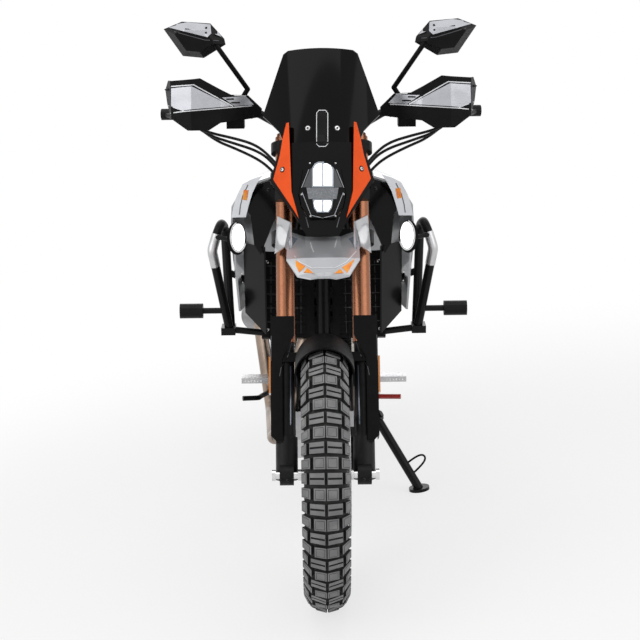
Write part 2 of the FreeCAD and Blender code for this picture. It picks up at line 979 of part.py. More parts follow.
def mirrored_outline(shares, half, height, y):
    """A closed symmetric outline in an XZ plane, from its left half's shares."""
    left = [V(s * half, y, h * height) for s, h in shares]
    right = [V(-p.x, y, p.z) for p in reversed(left) if p.x > 0]
    return left + right


def make_screen():
    """A bowed, tinted screen."""
    foot = V(0, screen_bow_radius, 0)
    bow = tube(foot, foot + ALONG_Z * screen_height, screen_bow_radius, screen_bow_radius - screen_wall)
    face = mirrored_outline(screen_outline_shares, screen_half, screen_height, -overrun)
    sheet = bow.common(prism(face, ALONG_Y * screen_bow_radius))
    return placed(sheet, leaning(screen_foot, screen_lean))


def cowl_path():
    """The cowl's folded line seen from above, from its left end round to its right end."""
    half = [V(s * cowl_half, a * cowl_depth, 0) for s, a in cowl_plan_shares]
    return half + [V(-p.x, p.y, 0) for p in reversed(half[:-1])]


def cowl_sheet(wall, lift):
    """The folded wall that the cowl and its trims share."""
    path = [p - ALONG_Y * lift for p in cowl_path()]
    return prism(thickened(path, -wall), ALONG_Z * cowl_height * cowl_sheet_share)


def make_cowl():
    """The black cowl round the headlight."""
    face = mirrored_outline(cowl_outline_shares, cowl_half, cowl_height, -overrun)
    shell = cowl_sheet(cowl_wall, 0).common(prism(face, ALONG_Y * (cowl_depth + 2 * overrun)))
    opening = [
        V(p.x * (1 + lamp_gap / lamp_half), p.y, p.z + lamp_foot_rise)
        for p in mirrored_outline(lamp_outline_shares, lamp_half, lamp_height, -lamp_proud - overrun)
    ]
    shell = shell.cut(prism(opening, ALONG_Y * lamp_depth))
    return placed(shell, leaning(cowl_foot, cowl_lean))


def make_headlight():
    """The lamp unit behind a faceted lens."""
    front = mirrored_outline(lamp_outline_shares, lamp_half - lamp_gap, lamp_height - lamp_gap, -lamp_proud)
    front = [V(p.x, p.y, p.z + lamp_foot_rise) for p in front]
    middle = V(0, lamp_depth, lamp_foot_rise + lamp_height / 2)
    back = [
        V(p.x * lamp_back_scale_share, lamp_depth, middle.z + (p.z - middle.z) * lamp_back_scale_share)
        for p in front
    ]
    waist = [V(p.x, cowl_wall + overrun, p.z) for p in front]
    lamp = loft([polygon(front), polygon(waist), polygon(back)], True)
    return placed(lamp, leaning(cowl_foot, cowl_lean))


def make_trims():
    """Orange side trims that lie on the cowl's folded faces."""
    face = [V(s * cowl_half, -overrun * 4, h * cowl_height) for s, h in trim_outline_shares]
    sheet = cowl_sheet(-trim_thickness, seat_gap)
    trim = sheet.common(prism(face, ALONG_Y * (cowl_depth + overrun * 4)))
    return [placed(t, leaning(cowl_foot, cowl_lean)) for t in both_sides(trim)]


def make_display():
    """The instrument display, on the posts of the front bracket."""
    low = V(-display_width / 2, 0, 0)
    box = block(low, V(display_width / 2, display_thickness, display_height))
    return placed(box, display_frame)


def make_front_bracket():
    """The bracket that carries lamp, cowl, screen and display on two rings round the fork tubes."""
    frame = leaning(cowl_foot, cowl_lean)
    count = len(cowl_plan_shares)
    wall = thickened(cowl_path(), -(cowl_wall + seat_gap))[::-1]
    end, start = wall[1], wall[2]
    tips = [start + (end - start) * share for share in bracket_horn_shares]
    half = [
        V(tips[0].x, lamp_depth, 0),
        tips[0],
        tips[1],
        V(tips[1].x, lamp_depth + bracket_thickness, 0),
    ]
    outline = half + [V(-p.x, p.y, 0) for p in reversed(half)]
    plate = prism([p + ALONG_Z * bracket_foot_rise for p in outline], ALONG_Z * bracket_height)
    pieces = [placed(plate, frame)]
    for side in (1, -1):
        ring_foot = V(side * fork_half, -fork_offset, bracket_ring_foot)
        ring = tube(
            ring_foot,
            ring_foot + ALONG_Z * bracket_ring_height,
            fork_tube_radius + bracket_ring_wall,
            fork_tube_radius + running_gap,
        )
        reach = fork_tube_radius + bracket_ring_wall / 2
        middle = bracket_ring_foot + bracket_ring_height / 2
        hold = steer_point(side * fork_half, -fork_offset - reach, middle)
        back = lamp_depth + bracket_thickness / 2
        root = frame.multVec(V(side * tips[0].x, back, bracket_foot_rise + bracket_height / 2))
        bow = screen_bow_radius - screen_wall
        pad_face = screen_bow_radius - math.sqrt(bow**2 - screen_pad_edge_out**2)
        pad = frame_of_screen.multVec(V(side * screen_pad_out, pad_face + seat_gap, screen_pad_rise))
        back_of_pad = V(side * screen_pad_out, pad_face + screen_pad_depth, screen_pad_rise)
        pad_back = frame_of_screen.multVec(back_of_pad)
        top_rise = bracket_foot_rise + bracket_height - bracket_post_radius
        post_foot = frame.multVec(V(side * screen_pad_out, back, top_rise))
        screen_post = rod(post_foot, pad_back - (pad_back - pad) * bracket_pad_share, bracket_post_radius)
        bottom = display_frame.multVec(V(side * screen_pad_out, display_thickness / 2, overrun))
        display_post = rod(post_foot, bottom, bracket_post_radius)
        screen_pad = rod(pad, pad_back, screen_pad_edge_out - screen_pad_out)
        arm = rod(root, hold, bracket_post_radius)
        pieces += [steered(ring), arm, screen_pad, screen_post, display_post]
    return fused(pieces).cut(make_display())


# High beak over the front wheel: stations back from its tip as
# shares of the length, the half width, the middle's height and the edges' height
beak_wall = 4.0
beak_front = -58.0
beak_length = 338.0
beak_half = 88.0
beak_foot = 830.0
beak_rise = 66.0
beak_station_shares = [
    (0.00, 0.34, 0.06, 0.02),
    (0.06, 0.70, 0.16, 0.06),
    (0.22, 1.00, 0.56, 0.52),
    (0.60, 0.98, 1.02, 1.24),
    (1.00, 0.60, 0.08, 0.08),
]
beak_boss_radius = 9.0
beak_boss_out = 34.0
beak_boss_back = -40.0
beak_boss_length = 22.0

# Its wings, which flare towards the fork tubes: distance back, then out and up of top and foot
wing_wall = 4.0
wing_length = 180.0
wing_out = 122.0
wing_foot = 838.0
wing_height = 96.0
wing_station_shares = [
    (0.00, 0.64, 0.55, 0.68, 0.36),
    (0.50, 0.66, 0.98, 0.78, 0.34),
    (1.00, 0.93, 1.00, 1.00, 0.00),
]


def make_beak():
    """The high front mudguard: a dished sheet with two wings, bolted under the lower yoke."""
    sections = []
    for back, out, middle, edge in beak_station_shares:
        y = beak_front + back * beak_length
        top = [
            V(-out * beak_half, y, beak_foot + edge * beak_rise),
            V(-out * beak_half / 2, y, beak_foot + middle * beak_rise),
            V(out * beak_half / 2, y, beak_foot + middle * beak_rise),
            V(out * beak_half, y, beak_foot + edge * beak_rise),
        ]
        under = [p - ALONG_Z * beak_wall for p in reversed(top)]
        sections.append(polygon(top + under))
    pieces = [loft(sections, True)]
    wing_sections = []
    for back, top_out, top_up, foot_out, foot_up in wing_station_shares:
        y = lower_yoke_front - wing_length * (1 - back)
        top = V(top_out * wing_out, y, wing_foot + top_up * wing_height)
        foot = V(foot_out * wing_out, y, wing_foot + foot_up * wing_height)
        inward = V(-wing_wall, 0, 0)
        wing_sections.append(polygon([top, foot, foot + inward, top + inward]))
    pieces += both_sides(loft(wing_sections, True))
    seat = V(beak_boss_out, beak_boss_back, lower_yoke_foot)
    boss = steered(rod(seat - ALONG_Z * beak_boss_length, seat, beak_boss_radius))
    pieces += both_sides(boss)
    return fused(pieces)


# Frame
frame_tube_radius = 15.0
down_tube_radius = 18.0
rail_tube_radius = 12.0
frame_bend = 50.0
cradle_bend = 30.0
head_low = lower_yoke_foot + lower_yoke_thickness + head_tube_gap
head_high = upper_yoke_foot - head_tube_gap
down_tube_head_share = 0.35
down_tube_knee = V(0, 400.0, 800.0)
down_tube_foot = V(0, 452.0, 392.0)
spine_head_share = 0.5
spine_middle = V(62.0, 640.0, 880.0)
pivot_back = 905.0
pivot_height = 402.0
pivot_plate_half = 124.0
pivot_plate_thickness = 12.0
pivot_plate_length = 74.0
pivot_plate_foot = 243.0
pivot_plate_top = 560.0
cradle_front = 480.0
cradle_half = 92.0
cradle_height = 262.0
rail_front = V(80.0, 880.0, 715.0)
rail_reach = 140.0
rail_rear_run = 340.0
rail_end = wheelbase + rail_reach
rail_middle_out, rail_middle_height = 78.0, 776.0
rail_rear_out, rail_rear_height = 62.0, 830.0
rail_middle = V(rail_middle_out, rail_end - rail_rear_run, rail_middle_height)
rail_rear = V(rail_rear_out, rail_end, rail_rear_height)
shock_cross_share = 0.72
stay_rear_share = 0.62
spine_rail_share = 0.52
pivot_axle_radius = 9.0
radiator_tab_heights = [622.0, 690.0]
radiator_tab_height = 16.0
radiator_tab_depth = 66.0
engine_mount_places = [515.0, 800.0]
engine_mount_length = 26.0
engine_mount_height = 42.0

# Side stand, which points down and out to the ground plane
stand_pivot = V(152.0, 850.0, 246.0)
stand_foot_point = V(276.0, 800.0, 0)
stand_radius = 13.0
stand_pin_radius = 6.0
stand_boss_radius = 17.0
stand_boss_length = 30.0
stand_pad_radius = 30.0
stand_pad_thickness = 9.0
stand_folded_direction = V(0.25, 0.95, 0.12)
stand_lug_length = 14.0
stand_lug_radius = 12.0
stand_head_radius = 10.0
stand_head_length = 5.0


def ground_height(x):
    """The ground's height under the leaning machine, in its upright frame."""
    return x * math.tan(math.radians(lean_angle))


stand_foot = V(stand_foot_point.x, stand_foot_point.y, ground_height(stand_foot_point.x))
stand_run = stand_foot.sub(stand_pivot).normalize()
stand_axis = stand_run.cross(stand_folded_direction).normalize()
ground_normal = V(-math.sin(math.radians(lean_angle)), 0, math.cos(math.radians(lean_angle)))

# Swingarm
arm_front_out = 97.0
arm_tube_width = 26.0
arm_tube_height = 48.0
arm_rear_height = 38.0
arm_pivot_radius = 24.0
arm_rear_out = 113.0
arm_cross_place = 150.0
arm_cross_depth = 26.0
arm_cross_height = 30.0
arm_tail = 52.0

# Engine
case_half = 70.0
case_front = 490.0
case_back = 850.0
case_foot = 288.0
case_height = 210.0
case_corner = 22.0
case_sink = 30.0
cover_thickness = 34.0
clutch_radius = 86.0
clutch_place = V(0, 740.0, 392.0)
generator_radius = 76.0
generator_place = V(0, 610.0, 385.0)
cover_bevel = 10.0
cylinder_lean = -14.0
cylinder_foot = V(0, 640.0, 470.0)
cylinder_half = 62.0
cylinder_height = 112.0
fin_count = 8
fin_thickness = 3.0
fin_proud = 14.0
head_height = 92.0
head_half = 74.0
rocker_height = 36.0
rocker_half = 58.0
port_out = 44.0
port_rise = 46.0

# Radiators, one each side of the down tube
radiator_inner_out = 24.0
radiator_outer_out = 164.0
radiator_height = 232.0
radiator_depth = 30.0
radiator_foot = V(0, 412.0, 585.0)
radiator_lean = 20.0
radiator_tank = 20.0
radiator_bars = 9
radiator_posts = 3
radiator_bar_depth = 4.0
radiator_bar_width = 5.0

# Exhaust
pipe_radius = 20.0
pipe_bend = 40.0
pipe_corners = [
    V(-104.0, 450.0, 350.0),
    V(-140.0, 560.0, 268.0),
    V(-152.0, 850.0, 272.0),
]
pipe_ahead = 56.0
pipe_tail = 70.0
silencer_radius = 58.0
silencer_front = V(-190.0, 1080.0, 505.0)
silencer_rear_out, silencer_rear_height = 202.0, 640.0
silencer_rear_ahead = 30.0
silencer_cap = 36.0
silencer_cap_radius = 42.0
silencer_mouth_radius = 24.0
silencer_mouth_depth = 60.0


silencer_rear = V(-silencer_rear_out, rail_end - silencer_rear_ahead, silencer_rear_height)
spine_end = V(
    pivot_plate_half - pivot_plate_thickness / 2, pivot_back, pivot_plate_top - frame_tube_radius
)
shock_cross = spine_middle + (spine_end - spine_middle) * shock_cross_share


def shock_cross_tube(radius):
    """The cross tube between the spine tubes that the shock absorber hangs from."""
    return rod(V(-shock_cross.x, shock_cross.y, shock_cross.z), shock_cross, radius)


def cradle_tube(radius):
    """The left tube of the cradle, from the down tube's foot to the pivot plates."""
    corners = [
        down_tube_foot,
        V(cradle_half, cradle_front, cradle_height),
        V(cradle_half, pivot_back, cradle_height),
    ]
    return bent_bar(corners, radius, cradle_bend)


def seat_rail(radius):
    """The left seat rail."""
    return bent_bar([rail_front, rail_middle, rail_rear], radius, frame_bend)


def stand_bracket():
    """The side stand's pin with its head, on a lug from the cradle."""
    inner = stand_pivot - stand_axis * (stand_boss_length / 2 + seat_gap)
    outer = stand_pivot + stand_axis * (stand_boss_length / 2 + seat_gap)
    root = inner - stand_axis * stand_lug_length
    pieces = [
        rod(root, outer, stand_pin_radius),
        rod(root, inner, stand_boss_radius - seat_gap),
        rod(outer, outer + stand_axis * stand_head_length, stand_head_radius),
        rod(root, V(cradle_half, root.y, cradle_height), stand_lug_radius),
    ]
    return fused(pieces)


def make_frame():
    """The frame: head tube, spine tubes, down tube, cradle, pivot plates and seat rails."""
    low = steer_point(0, 0, head_low)
    high = steer_point(0, 0, head_high)
    along = high - low
    head = rod(low, high, head_tube_radius)
    bore = rod(low - along, high + along, stem_radius + stem_bore_gap)
    spine_start = low + along * spine_head_share
    down_start = low + along * down_tube_head_share
    plate_middle = pivot_plate_half - pivot_plate_thickness / 2
    pieces = [head]
    pieces += both_sides(bent_bar([spine_start, spine_middle, spine_end], frame_tube_radius, frame_bend))
    pieces.append(bent_bar([down_start, down_tube_knee, down_tube_foot], down_tube_radius, frame_bend))
    pieces += both_sides(cradle_tube(rail_tube_radius))
    cross = V(plate_middle, pivot_back, cradle_height)
    pieces.append(rod(V(-cross.x, cross.y, cross.z), cross, frame_tube_radius))
    pieces.append(shock_cross_tube(rail_tube_radius))
    plate = block(
        V(pivot_plate_half - pivot_plate_thickness, pivot_back - pivot_plate_length / 2, pivot_plate_foot),
        V(pivot_plate_half, pivot_back + pivot_plate_length / 2, pivot_plate_top),
    )
    pieces += both_sides(plate)
    pieces += both_sides(seat_rail(rail_tube_radius))
    spine_rail = spine_middle + (spine_end - spine_middle) * spine_rail_share
    pieces += both_sides(rod(spine_rail, rail_front, rail_tube_radius))
    stay_end = rail_middle + (rail_rear - rail_middle) * stay_rear_share
    pieces += both_sides(rod(spine_end, stay_end, rail_tube_radius))
    pieces.append(rod(V(-rail_rear.x, rail_rear.y, rail_rear.z), rail_rear, rail_tube_radius))
    for height in radiator_tab_heights:
        reach = (down_tube_knee.z - height) / (down_tube_knee.z - down_tube_foot.z)
        start = down_tube_knee.y + (down_tube_foot.y - down_tube_knee.y) * reach - seat_gap
        inner = radiator_inner_out - seat_gap
        low = V(-inner, start, height)
        pieces.append(block(low, low + V(2 * inner, radiator_tab_depth, radiator_tab_height)))
    for place in engine_mount_places:
        low = V(case_half + seat_gap, place, cradle_height)
        mount = block(low, low + V(cradle_half - case_half, engine_mount_length, engine_mount_height))
        pieces += both_sides(mount)
    pieces.append(stand_bracket())
    pivot = V(0, pivot_back, pivot_height)
    hole = rod(
        pivot - ALONG_X * (pivot_plate_half + overrun),
        pivot + ALONG_X * (pivot_plate_half + overrun),
        pivot_axle_radius + running_gap,
    )
    return fused(pieces).cut([bore, hole])


def make_swingarm():
    """A box-section swingarm on its pivot tube, passing between the chain's two runs."""
    pivot = V(0, pivot_back, pivot_height)
    fall = (pivot_height - rear_axle.z) / (wheelbase - pivot_back)
    across = arm_front_out
    pieces = [rod(pivot - ALONG_X * across, pivot + ALONG_X * across, arm_pivot_radius)]

    def section(out, back, height):
        y = pivot_back + back
        z = pivot_height - fall * back
        low = V(out - arm_tube_width / 2, y, z - height / 2)
        across, up = ALONG_X * arm_tube_width, ALONG_Z * height
        return polygon([low, low + across, low + across + up, low + up])

    stations = [
        section(arm_front_out, -arm_pivot_radius, arm_tube_height),
        section(arm_front_out, arm_pivot_radius, arm_tube_height),
        section(arm_rear_out, arm_cross_place, arm_tube_height),
        section(arm_rear_out, wheelbase + arm_tail - pivot_back, arm_rear_height),
    ]
    pieces += both_sides(loft(stations, True))
    reach = chain_place - chain_pitch
    cross_z = pivot_height - fall * arm_cross_place
    low = V(-arm_rear_out, pivot_back + arm_cross_place - arm_cross_depth, cross_z - arm_cross_height / 2)
    pieces.append(block(low, low + V(2 * arm_rear_out, arm_cross_depth, arm_cross_height)))
    wide = ALONG_X * (arm_rear_out + arm_tube_width)
    bores = [
        rod(pivot - wide, pivot + wide, pivot_axle_radius + running_gap),
        rod(rear_axle - wide, rear_axle + wide, axle_radius + running_gap),
    ]
    return fused(pieces).cut(bores)


def make_axles():
    """The swingarm's pivot axle and the rear wheel's axle with its spacers and nuts."""
    pivot = V(0, pivot_back, pivot_height)
    across = ALONG_X * (pivot_plate_half + axle_nut_length)
    pieces = [rod(pivot - across, pivot + across, pivot_axle_radius)]
    reach = arm_rear_out + arm_tube_width / 2
    inner = arm_rear_out - arm_tube_width / 2 - seat_gap
    left = chain_place + sprocket_thickness / 2 + seat_gap
    rear = [
        rod(V(-reach, 0, 0), V(reach, 0, 0), axle_radius),
        rod(V(left, 0, 0), V(inner, 0, 0), spacer_radius),
        rod(V(-rear_hub_half - seat_gap, 0, 0), V(-inner, 0, 0), spacer_radius),
    ]
    rear += both_sides(rod(V(reach, 0, 0), V(reach + axle_nut_length, 0, 0), axle_nut_radius))
    axle = fused(rear)
    axle.translate(rear_axle)
    return [pieces[0], axle]


def make_crankcase():
    """The crankcase between its side covers."""
    body = block(V(-case_half, case_front, case_foot), V(case_half, case_back, case_foot + case_height))
    lengthwise = [e for e in body.Edges if e.BoundBox.XLength > case_half]
    return body.makeFillet(case_corner, lengthwise)


def side_cover(place, radius):
    """A round cover on the left face of the crankcase, bevelled at its rim."""
    inner = V(case_half, place.y, place.z)
    cover = Part.makeCylinder(radius, cover_thickness, inner, ALONG_X)
    rim_edges = [e for e in cover.Edges if e.BoundBox.XMin > case_half + cover_thickness / 2 and e.Closed]
    return cover.makeChamfer(cover_bevel, rim_edges[:1])


def make_clutch_cover():
    return half_turn(side_cover(clutch_place, clutch_radius))


def make_generator_cover():
    return side_cover(generator_place, generator_radius)


cylinder_frame = leaning(cylinder_foot, cylinder_lean)


def make_cylinder():
    """The finned barrel, the head and its rocker cover, leaning forward."""
    def layer(half, low, high):
        return block(V(-half, -half, low), V(half, half, high))

    head_foot = cylinder_height
    head_top = head_foot + head_height
    pitch = cylinder_height / fin_count
    pieces = [layer(cylinder_half, -case_sink, cylinder_height)]
    for n in range(1, fin_count):
        pieces.append(layer(cylinder_half + fin_proud, n * pitch, n * pitch + fin_thickness))
    pieces.append(layer(head_half, head_foot, head_top))
    pieces.append(layer(rocker_half, head_top, head_top + rocker_height))
    body = placed(fused(pieces), cylinder_frame)
    return body.cut(make_crankcase())


def make_radiators():
    """Two radiators: side tanks round a core behind a grille."""
    frame = leaning(radiator_foot, radiator_lean)
    inner, outer = radiator_inner_out, radiator_outer_out
    core_back = radiator_depth - radiator_bar_depth
    core = block(V(inner, radiator_bar_depth, 0), V(outer, core_back, radiator_height))
    pieces = [
        core,
        block(V(inner, 0, 0), V(inner + radiator_tank, radiator_depth, radiator_height)),
        block(V(outer - radiator_tank, 0, 0), V(outer, radiator_depth, radiator_height)),
    ]
    pitch = radiator_height / radiator_bars
    for n in range(radiator_bars):
        foot = (n + 1 / 2) * pitch - radiator_bar_width / 2
        pieces.append(block(V(inner, 0, foot), V(outer, radiator_bar_depth, foot + radiator_bar_width)))
    gap = (outer - inner - 2 * radiator_tank) / (radiator_posts + 1)
    for n in range(radiator_posts):
        side = inner + radiator_tank + (n + 1) * gap - radiator_bar_width / 2
        high = V(side + radiator_bar_width, radiator_bar_depth, radiator_height)
        pieces.append(block(V(side, 0, 0), high))
    return both_sides(placed(fused(pieces), frame))


def make_exhaust_pipe():
    """The exhaust pipe from the head's port, down and back on the right to the silencer."""
    port = cylinder_frame.multVec(V(-port_out, -head_half, cylinder_height + port_rise))
    ahead = cylinder_frame.multVec(V(-port_out, -head_half - pipe_ahead, cylinder_height + port_rise))
    run = silencer_rear.sub(silencer_front).normalize()
    tail = silencer_front - run * pipe_tail
    return bent_bar([port, ahead] + pipe_corners + [tail, silencer_front], pipe_radius, pipe_bend)


def make_silencer():
    """The silencer with its tapered end cap and its outlet."""
    run = silencer_rear.sub(silencer_front).normalize()
    body = rod(silencer_front, silencer_rear, silencer_radius)
    cap = Part.makeCone(silencer_radius, silencer_cap_radius, silencer_cap, silencer_rear, run)
    end = silencer_rear + run * silencer_cap
    mouth = rod(end - run * silencer_mouth_depth, end + run * overrun, silencer_mouth_radius)
    return fused([body, cap]).cut(mouth)


# Fuel tank: stations as shares of its length, half width, and height at foot and top
tank_front = 449.0
tank_length = 336.0
tank_half = 142.0
tank_foot = 830.0
tank_height = 190.0
tank_station_shares = [
    (0.00, 0.44, 0.55, 0.94),
    (0.18, 0.92, 0.30, 1.00),
    (0.55, 1.00, 0.10, 0.98),
    (0.82, 0.70, 0.00, 0.66),
    (1.00, 0.52, 0.00, 0.34),
]
tank_side_shares = [(0.80, 0.00), (1.00, 0.30), (1.00, 0.82), (0.75, 1.00)]
tunnel_half = 84.0
tunnel_length = 262.0
tunnel_front_height = 975.0
tunnel_rear_height = 880.0


def make_tank():
    """The fuel tank, lofted through faceted stations, with a tunnel over the spine tubes."""
    sections = []
    for back, out, low, high in tank_station_shares:
        y = tank_front + back * tank_length
        foot = tank_foot + low * tank_height
        rise = (high - low) * tank_height
        right = [V(x * out * tank_half, y, foot + z * rise) for x, z in tank_side_shares]
        sections.append(polygon(right + [V(-p.x, p.y, p.z) for p in reversed(right)]))
    body = loft(sections, True)
    start = tank_front - overrun
    end = tank_front + tunnel_length
    tunnel = [
        V(-tunnel_half, start, tank_foot - overrun),
        V(-tunnel_half, end, tank_foot - overrun),
        V(-tunnel_half, end, tunnel_rear_height),
        V(-tunnel_half, start, tunnel_front_height),
    ]
    return body.cut(prism(tunnel, ALONG_X * (2 * tunnel_half)))


# Silver side panels: stations of points out and up, as shares from the panel's foot and mid line
panel_wall = 5.0
panel_front = 450.0
panel_length = 350.0
panel_foot = 765.0
panel_height = 250.0
panel_half = 243.0
panel_boss_back = 620.0
panel_boss_height = 940.0
panel_boss_out = 208.0
panel_boss_radius = 8.0
panel_passage_gap = 5.0
panel_stations_shares = [
    (0.00, [(0.56, 0.97), (0.84, 0.88), (0.98, 0.66), (0.99, 0.48), (0.98, 0.34)]),
    (0.20, [(0.56, 0.99), (0.82, 0.90), (0.99, 0.64), (1.00, 0.16), (0.94, -0.52)]),
    (0.50, [(0.56, 0.97), (0.78, 0.88), (0.91, 0.54), (0.86, 0.00), (0.82, -0.46)]),
    (0.78, [(0.50, 0.82), (0.64, 0.70), (0.72, 0.46), (0.68, 0.06), (0.66, -0.14)]),
    (1.00, [(0.42, 0.56), (0.50, 0.46), (0.54, 0.30), (0.53, 0.08), (0.52, 0.00)]),
]


def make_side_panels():
    """Silver side panels that flare out beside the tank and taper to the knees."""
    sections = []
    for back, shares in panel_stations_shares:
        y = panel_front + back * panel_length
        line = [V(x * panel_half, panel_foot + z * panel_height, 0) for x, z in shares]
        outline = thickened(line, -panel_wall)
        sections.append(polygon([V(p.x, y, p.y) for p in outline]))
    boss = rod(
        V(tank_half - panel_wall, panel_boss_back, panel_boss_height),
        V(panel_boss_out, panel_boss_back, panel_boss_height),
        panel_boss_radius,
    ).cut(make_tank())
    passage = crash_upper_arm(crash_lower_radius + panel_passage_gap)
    return both_sides(fused([loft(sections, True), boss]).cut(passage))


# Black shrouds: a front plate beside the steering head and a side sheet down past the radiator
shroud_wall = 4.0
shroud_top = 1004.0
shroud_front = 457.0
shroud_height = 190.0
shroud_half = 212.0
shroud_face_shares = [
    (0.33, 1.00),
    (0.60, 0.98),
    (0.80, 0.90),
    (1.00, 0.66),
    (0.88, 0.45),
    (0.84, 0.05),
    (0.76, -0.10),
    (0.62, 0.30),
]
shroud_corner_share = 0.72
shroud_overlap = 19.0
shroud_rise = 20.0
shroud_side_length = 70.0
shroud_side_flare = 56.0
shroud_foot = 600.0
shroud_foot_out = 152.0
shroud_foot_back = 20.0
shroud_foot_share = 0.8


def make_shrouds():
    """The plate between tank and side panel, and the sheet below it beside the radiator."""
    frame = leaning(V(0, shroud_front, shroud_top), rake_angle)
    face = [V(x * shroud_half, 0, (z - 1) * shroud_height) for x, z in shroud_face_shares]
    plate = placed(prism(face, ALONG_Y * shroud_wall), frame)
    corner = frame.multVec(V(shroud_half * shroud_corner_share, 0, -shroud_height - shroud_overlap))
    stations = []
    for back, flare in ((0.0, 0.0), (shroud_side_length, shroud_side_flare)):
        top = V(corner.x + flare, corner.y + back, corner.z + shroud_rise)
        foot = V(shroud_foot_out + flare, top.y + shroud_foot_back, shroud_foot + flare * shroud_foot_share)
        inward = ALONG_X * -shroud_wall
        stations.append(polygon([top, foot, foot + inward, top + inward]))
    sheet = loft(stations, True)
    return both_sides(fused([plate, sheet]))


# Seat, from the tank to just ahead of the rails' end, and tail: stations as shares of the length
# from front to back, then half width, foot and top
seat_tank_gap = 5.0
seat_rear_ahead = 40.0
seat_place_shares = [0.0, 0.096, 0.26, 0.493, 0.582, 0.808, 1.0]
seat_profiles = [
    (62.0, 838.0, 878.0),
    (92.0, 790.0, 832.0),
    (128.0, 782.0, 815.0),
    (132.0, 800.0, 836.0),
    (128.0, 812.0, 880.0),
    (118.0, 838.0, 902.0),
    (92.0, 862.0, 912.0),
]
seat_side_shares = [(0.90, 0.00), (1.00, 0.50), (0.82, 1.00)]
seat_pad_share = 0.493
seat_pad_top = 806.0
seat_pad_radius = 12.0
tail_wall = 4.0
tail_length = 655.0
tail_overhang = 80.0
tail_place_shares = [0.0, 0.481, 0.817, 1.0]
tail_profiles = [
    (126.0, 720.0, 775.0),
    (124.0, 768.0, 815.0),
    (100.0, 800.0, 850.0),
    (62.0, 826.0, 880.0),
]
tail_side_shares = [(0.86, 0.00), (1.00, 0.50), (0.94, 1.00)]
tail_end_wall = 26.0
tail_lamp_width = 84.0
tail_lamp_height = 34.0
tail_lamp_depth = 18.0
tail_lamp_foot = 836.0


def stations_along(front, rear, place_shares, profiles):
    """The profiles at their places between the front and the rear."""
    return [(front + share * (rear - front),) + profile for share, profile in zip(place_shares, profiles)]


seat_front = tank_front + tank_length + seat_tank_gap
seat_rear = rail_end - seat_rear_ahead
seat_pad_back = seat_front + seat_pad_share * (seat_rear - seat_front)
seat_stations = stations_along(seat_front, seat_rear, seat_place_shares, seat_profiles)
tail_rear = rail_end + tail_overhang
tail_stations = stations_along(tail_rear - tail_length, tail_rear, tail_place_shares, tail_profiles)


def station_loft(stations, side_shares, inset=0.0, below=0.0, above=0.0):
    """A symmetric body through stations, each set by its place, half width, foot and top."""
    sections = []
    for y, half, foot, top in stations:
        low = foot - below
        rise = top + above - low
        right = [V(x * half - inset, y, low + z * rise) for x, z in side_shares]
        sections.append(polygon(right + [V(-p.x, p.y, p.z) for p in reversed(right)]))
    return loft(sections, True)


def make_seat():
    """The long seat with its raised pillion part, on pads on the seat rails."""
    body = station_loft(seat_stations, seat_side_shares)
    foot = V(rail_middle.x, seat_pad_back, rail_middle.z)
    pad = rod(foot, V(foot.x, foot.y, seat_pad_top), seat_pad_radius)
    pads = both_sides(pad.cut(seat_rail(rail_tube_radius + seat_gap)))
    return fused([body] + [max(pad.Solids, key=lambda solid: solid.CenterOfMass.z) for pad in pads])


def make_tail():
    """The tail cowl: two side walls under the seat that join at the rear end."""
    body = station_loft(tail_stations, tail_side_shares)
    front, rear = tail_stations[0], tail_stations[-1]
    hollow = station_loft(tail_stations, tail_side_shares, tail_wall, overrun, overrun)
    keep = block(
        V(-front[1], front[0] - overrun, front[2] - 2 * overrun),
        V(front[1], rear[0] - tail_end_wall, rear[3] + 2 * overrun),
    )
    return body.cut(hollow.common(keep))


def make_tail_lamp():
    rear = tail_stations[-1][0]
    low = V(-tail_lamp_width / 2, rear + seat_gap, tail_lamp_foot)
    return block(low, low + V(tail_lamp_width, tail_lamp_depth, tail_lamp_height))


# Rear mudguard with the blank plate's holder: its line back from the rails' end, and its heights
holder_wall = 4.0
holder_width = 150.0
holder_backs = [-15.0, 76.0, 140.0, 230.0]
holder_heights = [805.1, 824.8, 772.0, 575.0]
holder_line = [V(rail_end + back, height, 0) for back, height in zip(holder_backs, holder_heights)]
plate_hole_drop = 50.0
plate_hole_out = 52.0
plate_hole_radius = 3.2
plate_run = holder_line[-1].sub(holder_line[-2]).normalize()
plate_normal = V(0, -plate_run.y, plate_run.x)
plate_top = V(0, holder_line[-2].x, holder_line[-2].y)
plate_middle = plate_top + V(0, plate_run.x, plate_run.y) * plate_hole_drop
plate_middle = plate_middle - plate_normal * (holder_wall / 2)


def make_rear_fender():
    """A folded sheet under the tail that hangs down behind the wheel."""
    outline = thickened(holder_line, -holder_wall)
    points = [V(-holder_width / 2, p.x, p.y) for p in outline]
    reach = plate_normal * (2 * holder_wall)
    holes = [
        rod(plate_middle + side - reach, plate_middle + side + reach, plate_hole_radius)
        for side in (ALONG_X * plate_hole_out, ALONG_X * -plate_hole_out)
    ]
    return prism(points, ALONG_X * holder_width).cut(holes)


# Shock absorber
shock_foot = V(0, 1042.0, 388.0)
shock_body_radius = 24.0
spring_radius = 40.0
spring_wire_radius = 6.0
spring_turns = 8
spring_share = 0.72
spring_foot_share = 0.14
spring_chamfer_share = 0.55


